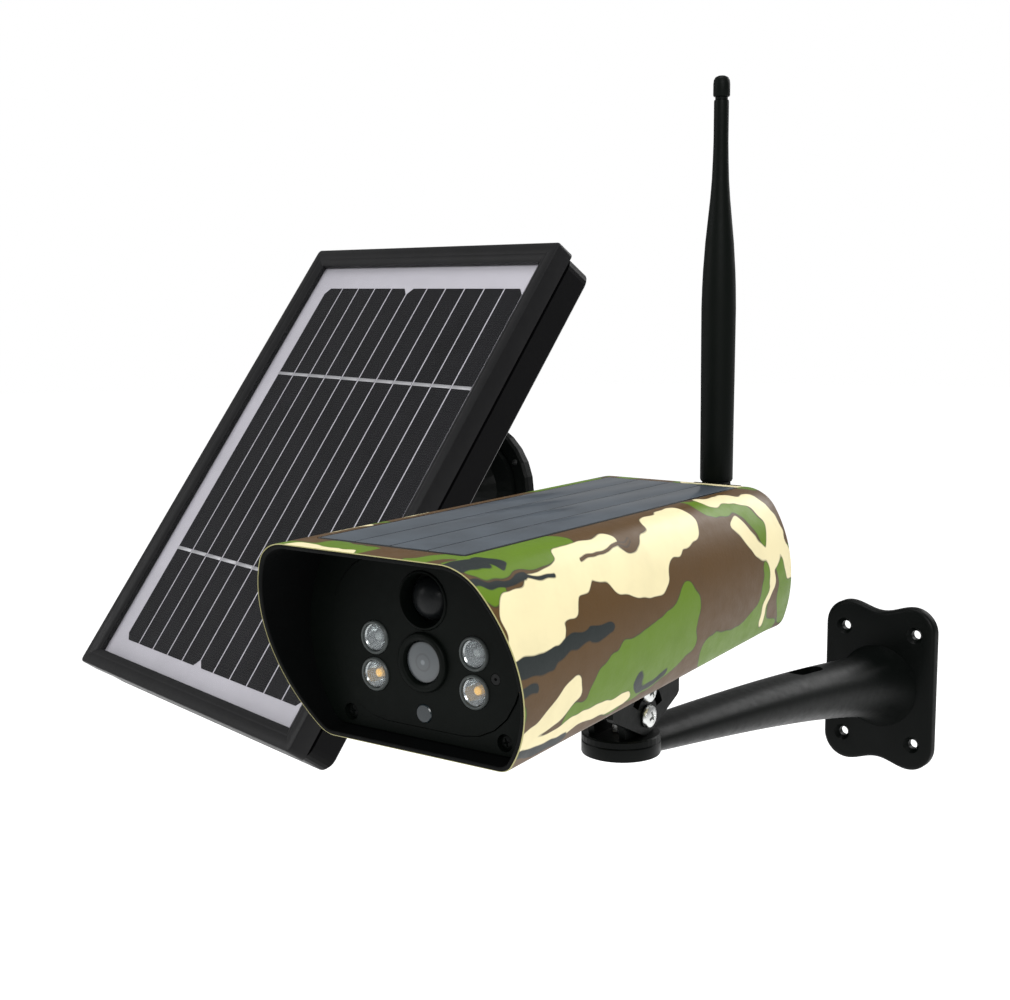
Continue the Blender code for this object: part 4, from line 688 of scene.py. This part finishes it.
def screws():
    """The screws and bolts with a head in sight."""
    along_x = turn(90, "Y")
    side = YOKE_INNER + EAR + SEAT + EAR + SEAT
    lock_z = 0.0108
    screw("tilt_bolt_head", HEAD @ Matrix.Translation((side, 0, 0)) @ along_x, "swivel", 0.0050, 0.0026, "tilt_bolt",
          (0.0020, 2 * side + 0.006))
    screw("lock_screw_head", HEAD @ Matrix.Translation((side, 0, lock_z)) @ along_x, "swivel", 0.0048, 0.0026,
          "lock_screw", (0.0020, side - 0.003))
    front_seat, rear_seat, panel_seat = -0.0033, -0.0019, -0.0144
    for name, sign in (("left", -1), ("right", 1)):
        front = FRONT @ Matrix.Translation((sign * SCREW_X, FRONT_SCREW_Z, front_seat))
        screw(f"front_fixing_{name}", front, "camera_head", 0.0029, 0.0018, f"front_screw_{name}", (0.0013, 0.0110),
              COATING)
        rear = REAR @ Matrix.Translation((-sign * SCREW_X, REAR_SCREW_Z, rear_seat))
        screw(f"rear_fixing_{name}", rear, "camera_head", 0.0029, 0.0016, f"rear_screw_{name}", (0.0013, 0.0100))
    for name, sign in (("left", -1), ("right", 1)):
        back = PANEL @ Matrix.Translation((sign * PANEL_SCREW_X, panel_seat, 0)) @ turn(180, "Z") @ turn(90, "X")
        screw(f"panel_fixing_{name}", back, "solar_panel", 0.0040, 0.0022, f"panel_screw_{name}", (0.0021, 0.0110))


def antenna():
    """The rod, a lathe-turned taper with a groove near its tip and a moulded tongue at its foot."""
    place = HEAD @ Matrix.Translation(ANTENNA)
    base, tip = 0.0090, 0.1835
    profile = [(0, base), (0.0060, base), (0.0068, base + 0.0003), (0.0072, base + 0.0012), (0.00725, 0.0300),
               (0.0074, 0.0600), (0.0075, 0.0850), (0.0073, 0.0940), (0.0070, 0.1010), (0.0062, 0.1130),
               (0.0052, 0.1230), (0.0043, 0.1320), (0.0037, 0.1400), (0.0034, 0.1480), (0.0032, 0.1560),
               (0.0032, tip - 0.0108), (0.0031, tip - 0.0103), (0.0027, tip - 0.0100), (0.0027, tip - 0.0090),
               (0.0034, tip - 0.0087), (0.0036, tip - 0.0082), (0.0036, tip - 0.0035), (0.0034, tip - 0.0019),
               (0.0027, tip - 0.0007), (0.0014, tip - 0.0001), (0, tip)]
    piece("antenna_whip", turned(profile, 56), "antenna", PLASTIC, place, ["antenna_rod"])
    half, radius, neck, top = 0.0041, 0.0074, 0.0057, base + 0.0009
    outline = arc(0, 0, radius, -math.pi, 0, 28) + [(neck, top), (-neck, top)]
    tongue = skin([[(x, y, z) for y, z in outline] for x in (-half, half)])
    piece("antenna_tongue", tongue, "antenna", PLASTIC, place, bevel=0.0003)


def solar_panel():
    """Backing, eleven cells, ribbons and a moulded frame with mitred corners, round the model's own glass."""
    front = PANEL_FRONT
    lap, sheet_low, sheet_top, cell_top = 0.0128, -0.0068, -0.0058, -0.00562
    sheet = rectangle(PANEL_WIDTH - lap, PANEL_HEIGHT - lap, 0.001, 2)
    piece("panel_backing", slab(sheet, sheet_low, sheet_top, 0.0001), "solar_panel", BACK_SHEET, front,
          ["panel_laminate"])

    # Cells 0 to 4 and 5 to 10 are two groups, whose outer corners are clipped.
    cells = bmesh.new()
    count, left, right, low, high, gap, clip = 11, -0.098, 0.108, -0.135, 0.131, 0.0013, 0.0042
    pitch = (right - left) / count
    for i in range(count):
        x0, x1 = left + i * pitch + gap / 2, left + (i + 1) * pitch - gap / 2
        first, last = i in (0, 5), i in (4, 10)
        outline = [(x0 + clip, low) if first else (x0, low), (x1 - clip, low) if last else (x1, low)]
        outline += [(x1, low + clip)] if last else []
        outline += [(x1, high - clip), (x1 - clip, high)] if last else [(x1, high)]
        outline += [(x0 + clip, high), (x0, high - clip)] if first else [(x0, high)]
        outline += [(x0, low + clip)] if first else []
        skin([[(x, y, z) for x, y in outline] for z in (sheet_top, cell_top)], shape=cells)
    piece("panel_cells", cells, "solar_panel", PANEL_CELL, front)

    # The frame's section as (distance in from its outer edge, height) pairs.
    moulding = [(0, -0.0115), (0, -0.0010), (0.0003, -0.0003), (0.0010, 0), (0.0066, 0), (0.0070, -0.0003),
                (0.0078, -0.0003), (0.0086, -0.0004), (0.0118, -0.0019), (0.0120, -0.0022), (0.0120, -0.0050),
                (0.0050, -0.0115)]
    rings = []
    for inset, depth in moulding:
        width, height, corner = PANEL_WIDTH - 2 * inset, PANEL_HEIGHT - 2 * inset, max(0.0030 - inset, 0.0004)
        rings.append([(x, y, depth) for x, y in rectangle(width, height, corner, 5)])
    piece("panel_moulding", skin(rings, closed=True), "solar_panel", PANEL_PLASTIC, front,
          ["panel_frame"], own_frame=False)

    ribbons = bmesh.new()
    for height in (0.0635, -0.069):
        for i in range(count):
            x = left + (i + 0.5) * pitch
            slab(rectangle(pitch - 0.0012, 0.0022, 0.0003, 2, (x, height)), cell_top, -0.00548, 0.00005, ribbons)
    piece("panel_ribbons", ribbons, "solar_panel", RIBBON, front)


dress_frame()
outer_shell()
roof_panel()
front_parts()
screws()
antenna()
solar_panel()
wall_bracket()


# Stage

def lamp(name, place, target, size, power):
    """A round white area light that faces its target."""
    data = bpy.data.lights.new(name, "AREA")
    data.shape, data.size, data.energy = "DISK", size, power
    made = bpy.data.objects.new(name, data)
    made.location = place
    made.rotation_euler = (Vector(target) - Vector(place)).to_track_quat("-Z", "Y").to_euler()
    bpy.context.scene.collection.objects.link(made)


def stage():
    """A pale floor, an even studio background and four soft lights."""
    disc = skin([[(x, y, z) for x, y in circle(9.0, 64, 0, -0.2)] for z in (-0.46, -0.44)])
    floor = mesh_object("floor", disc, Matrix())
    look = Look("pale floor", (0.86, 0.86, 0.86), 0.9, Specular_IOR_Level=0.0)
    look.set("Base Color", look.mix(look.span(look.noise(1.5, 2), 0.3, 0.7), (0.48, 0.48, 0.48), (0.52, 0.52, 0.52)))
    look.set("Emission Color", (1, 1, 1, 1))
    look.set("Emission Strength", 0.88)
    floor.data.materials.append(look.material)

    world = bpy.data.worlds.new("studio")
    bpy.context.scene.world = world
    world.use_nodes = True
    tree = world.node_tree
    back = tree.nodes["Background"]
    back.inputs["Color"].default_value = (1, 1, 1, 1)
    # The background is white, and lights the object less than it shows.
    path = tree.nodes.new("ShaderNodeLightPath")
    level = tree.nodes.new("ShaderNodeMapRange")
    level.inputs["To Min"].default_value, level.inputs["To Max"].default_value = 0.36, 1.0
    tree.links.new(path.outputs["Is Camera Ray"], level.inputs["Value"])
    tree.links.new(level.outputs["Result"], back.inputs["Strength"])

    middle = (-0.1, -0.25, 0.1)
    lamp("key", (1.3, -1.7, 1.2), middle, 1.2, 36)
    lamp("fill", (-1.6, -1.5, 0.9), middle, 1.4, 16)
    lamp("top", (-0.1, -0.2, 1.9), middle, 1.4, 21)
    lamp("back", (0.4, 1.6, 1.1), middle, 1.3, 19)


def camera():
    """The camera, from its direction as seen from the object and its roll."""
    a, e, r = AZIMUTH, ELEVATION, ROLL
    back = Vector((math.sin(a) * math.cos(e), -math.cos(a) * math.cos(e), math.sin(e)))
    level = Vector((math.cos(a), math.sin(a), 0))
    up = back.cross(level)
    right = math.cos(r) * level + math.sin(r) * up
    up = -math.sin(r) * level + math.cos(r) * up
    data = bpy.data.cameras.new("camera")
    data.sensor_width, data.lens = IMAGE_WIDTH_MM, LENS_MM
    data.clip_start, data.clip_end = 0.02, 60
    made = bpy.data.objects.new("camera", data)
    made.matrix_world = Matrix((right, up, back)).transposed().to_4x4()
    made.location = CAMERA_AT
    bpy.context.scene.collection.objects.link(made)
    bpy.context.scene.camera = made


stage()
camera()
bpy.context.scene.view_settings.view_transform = "Standard"
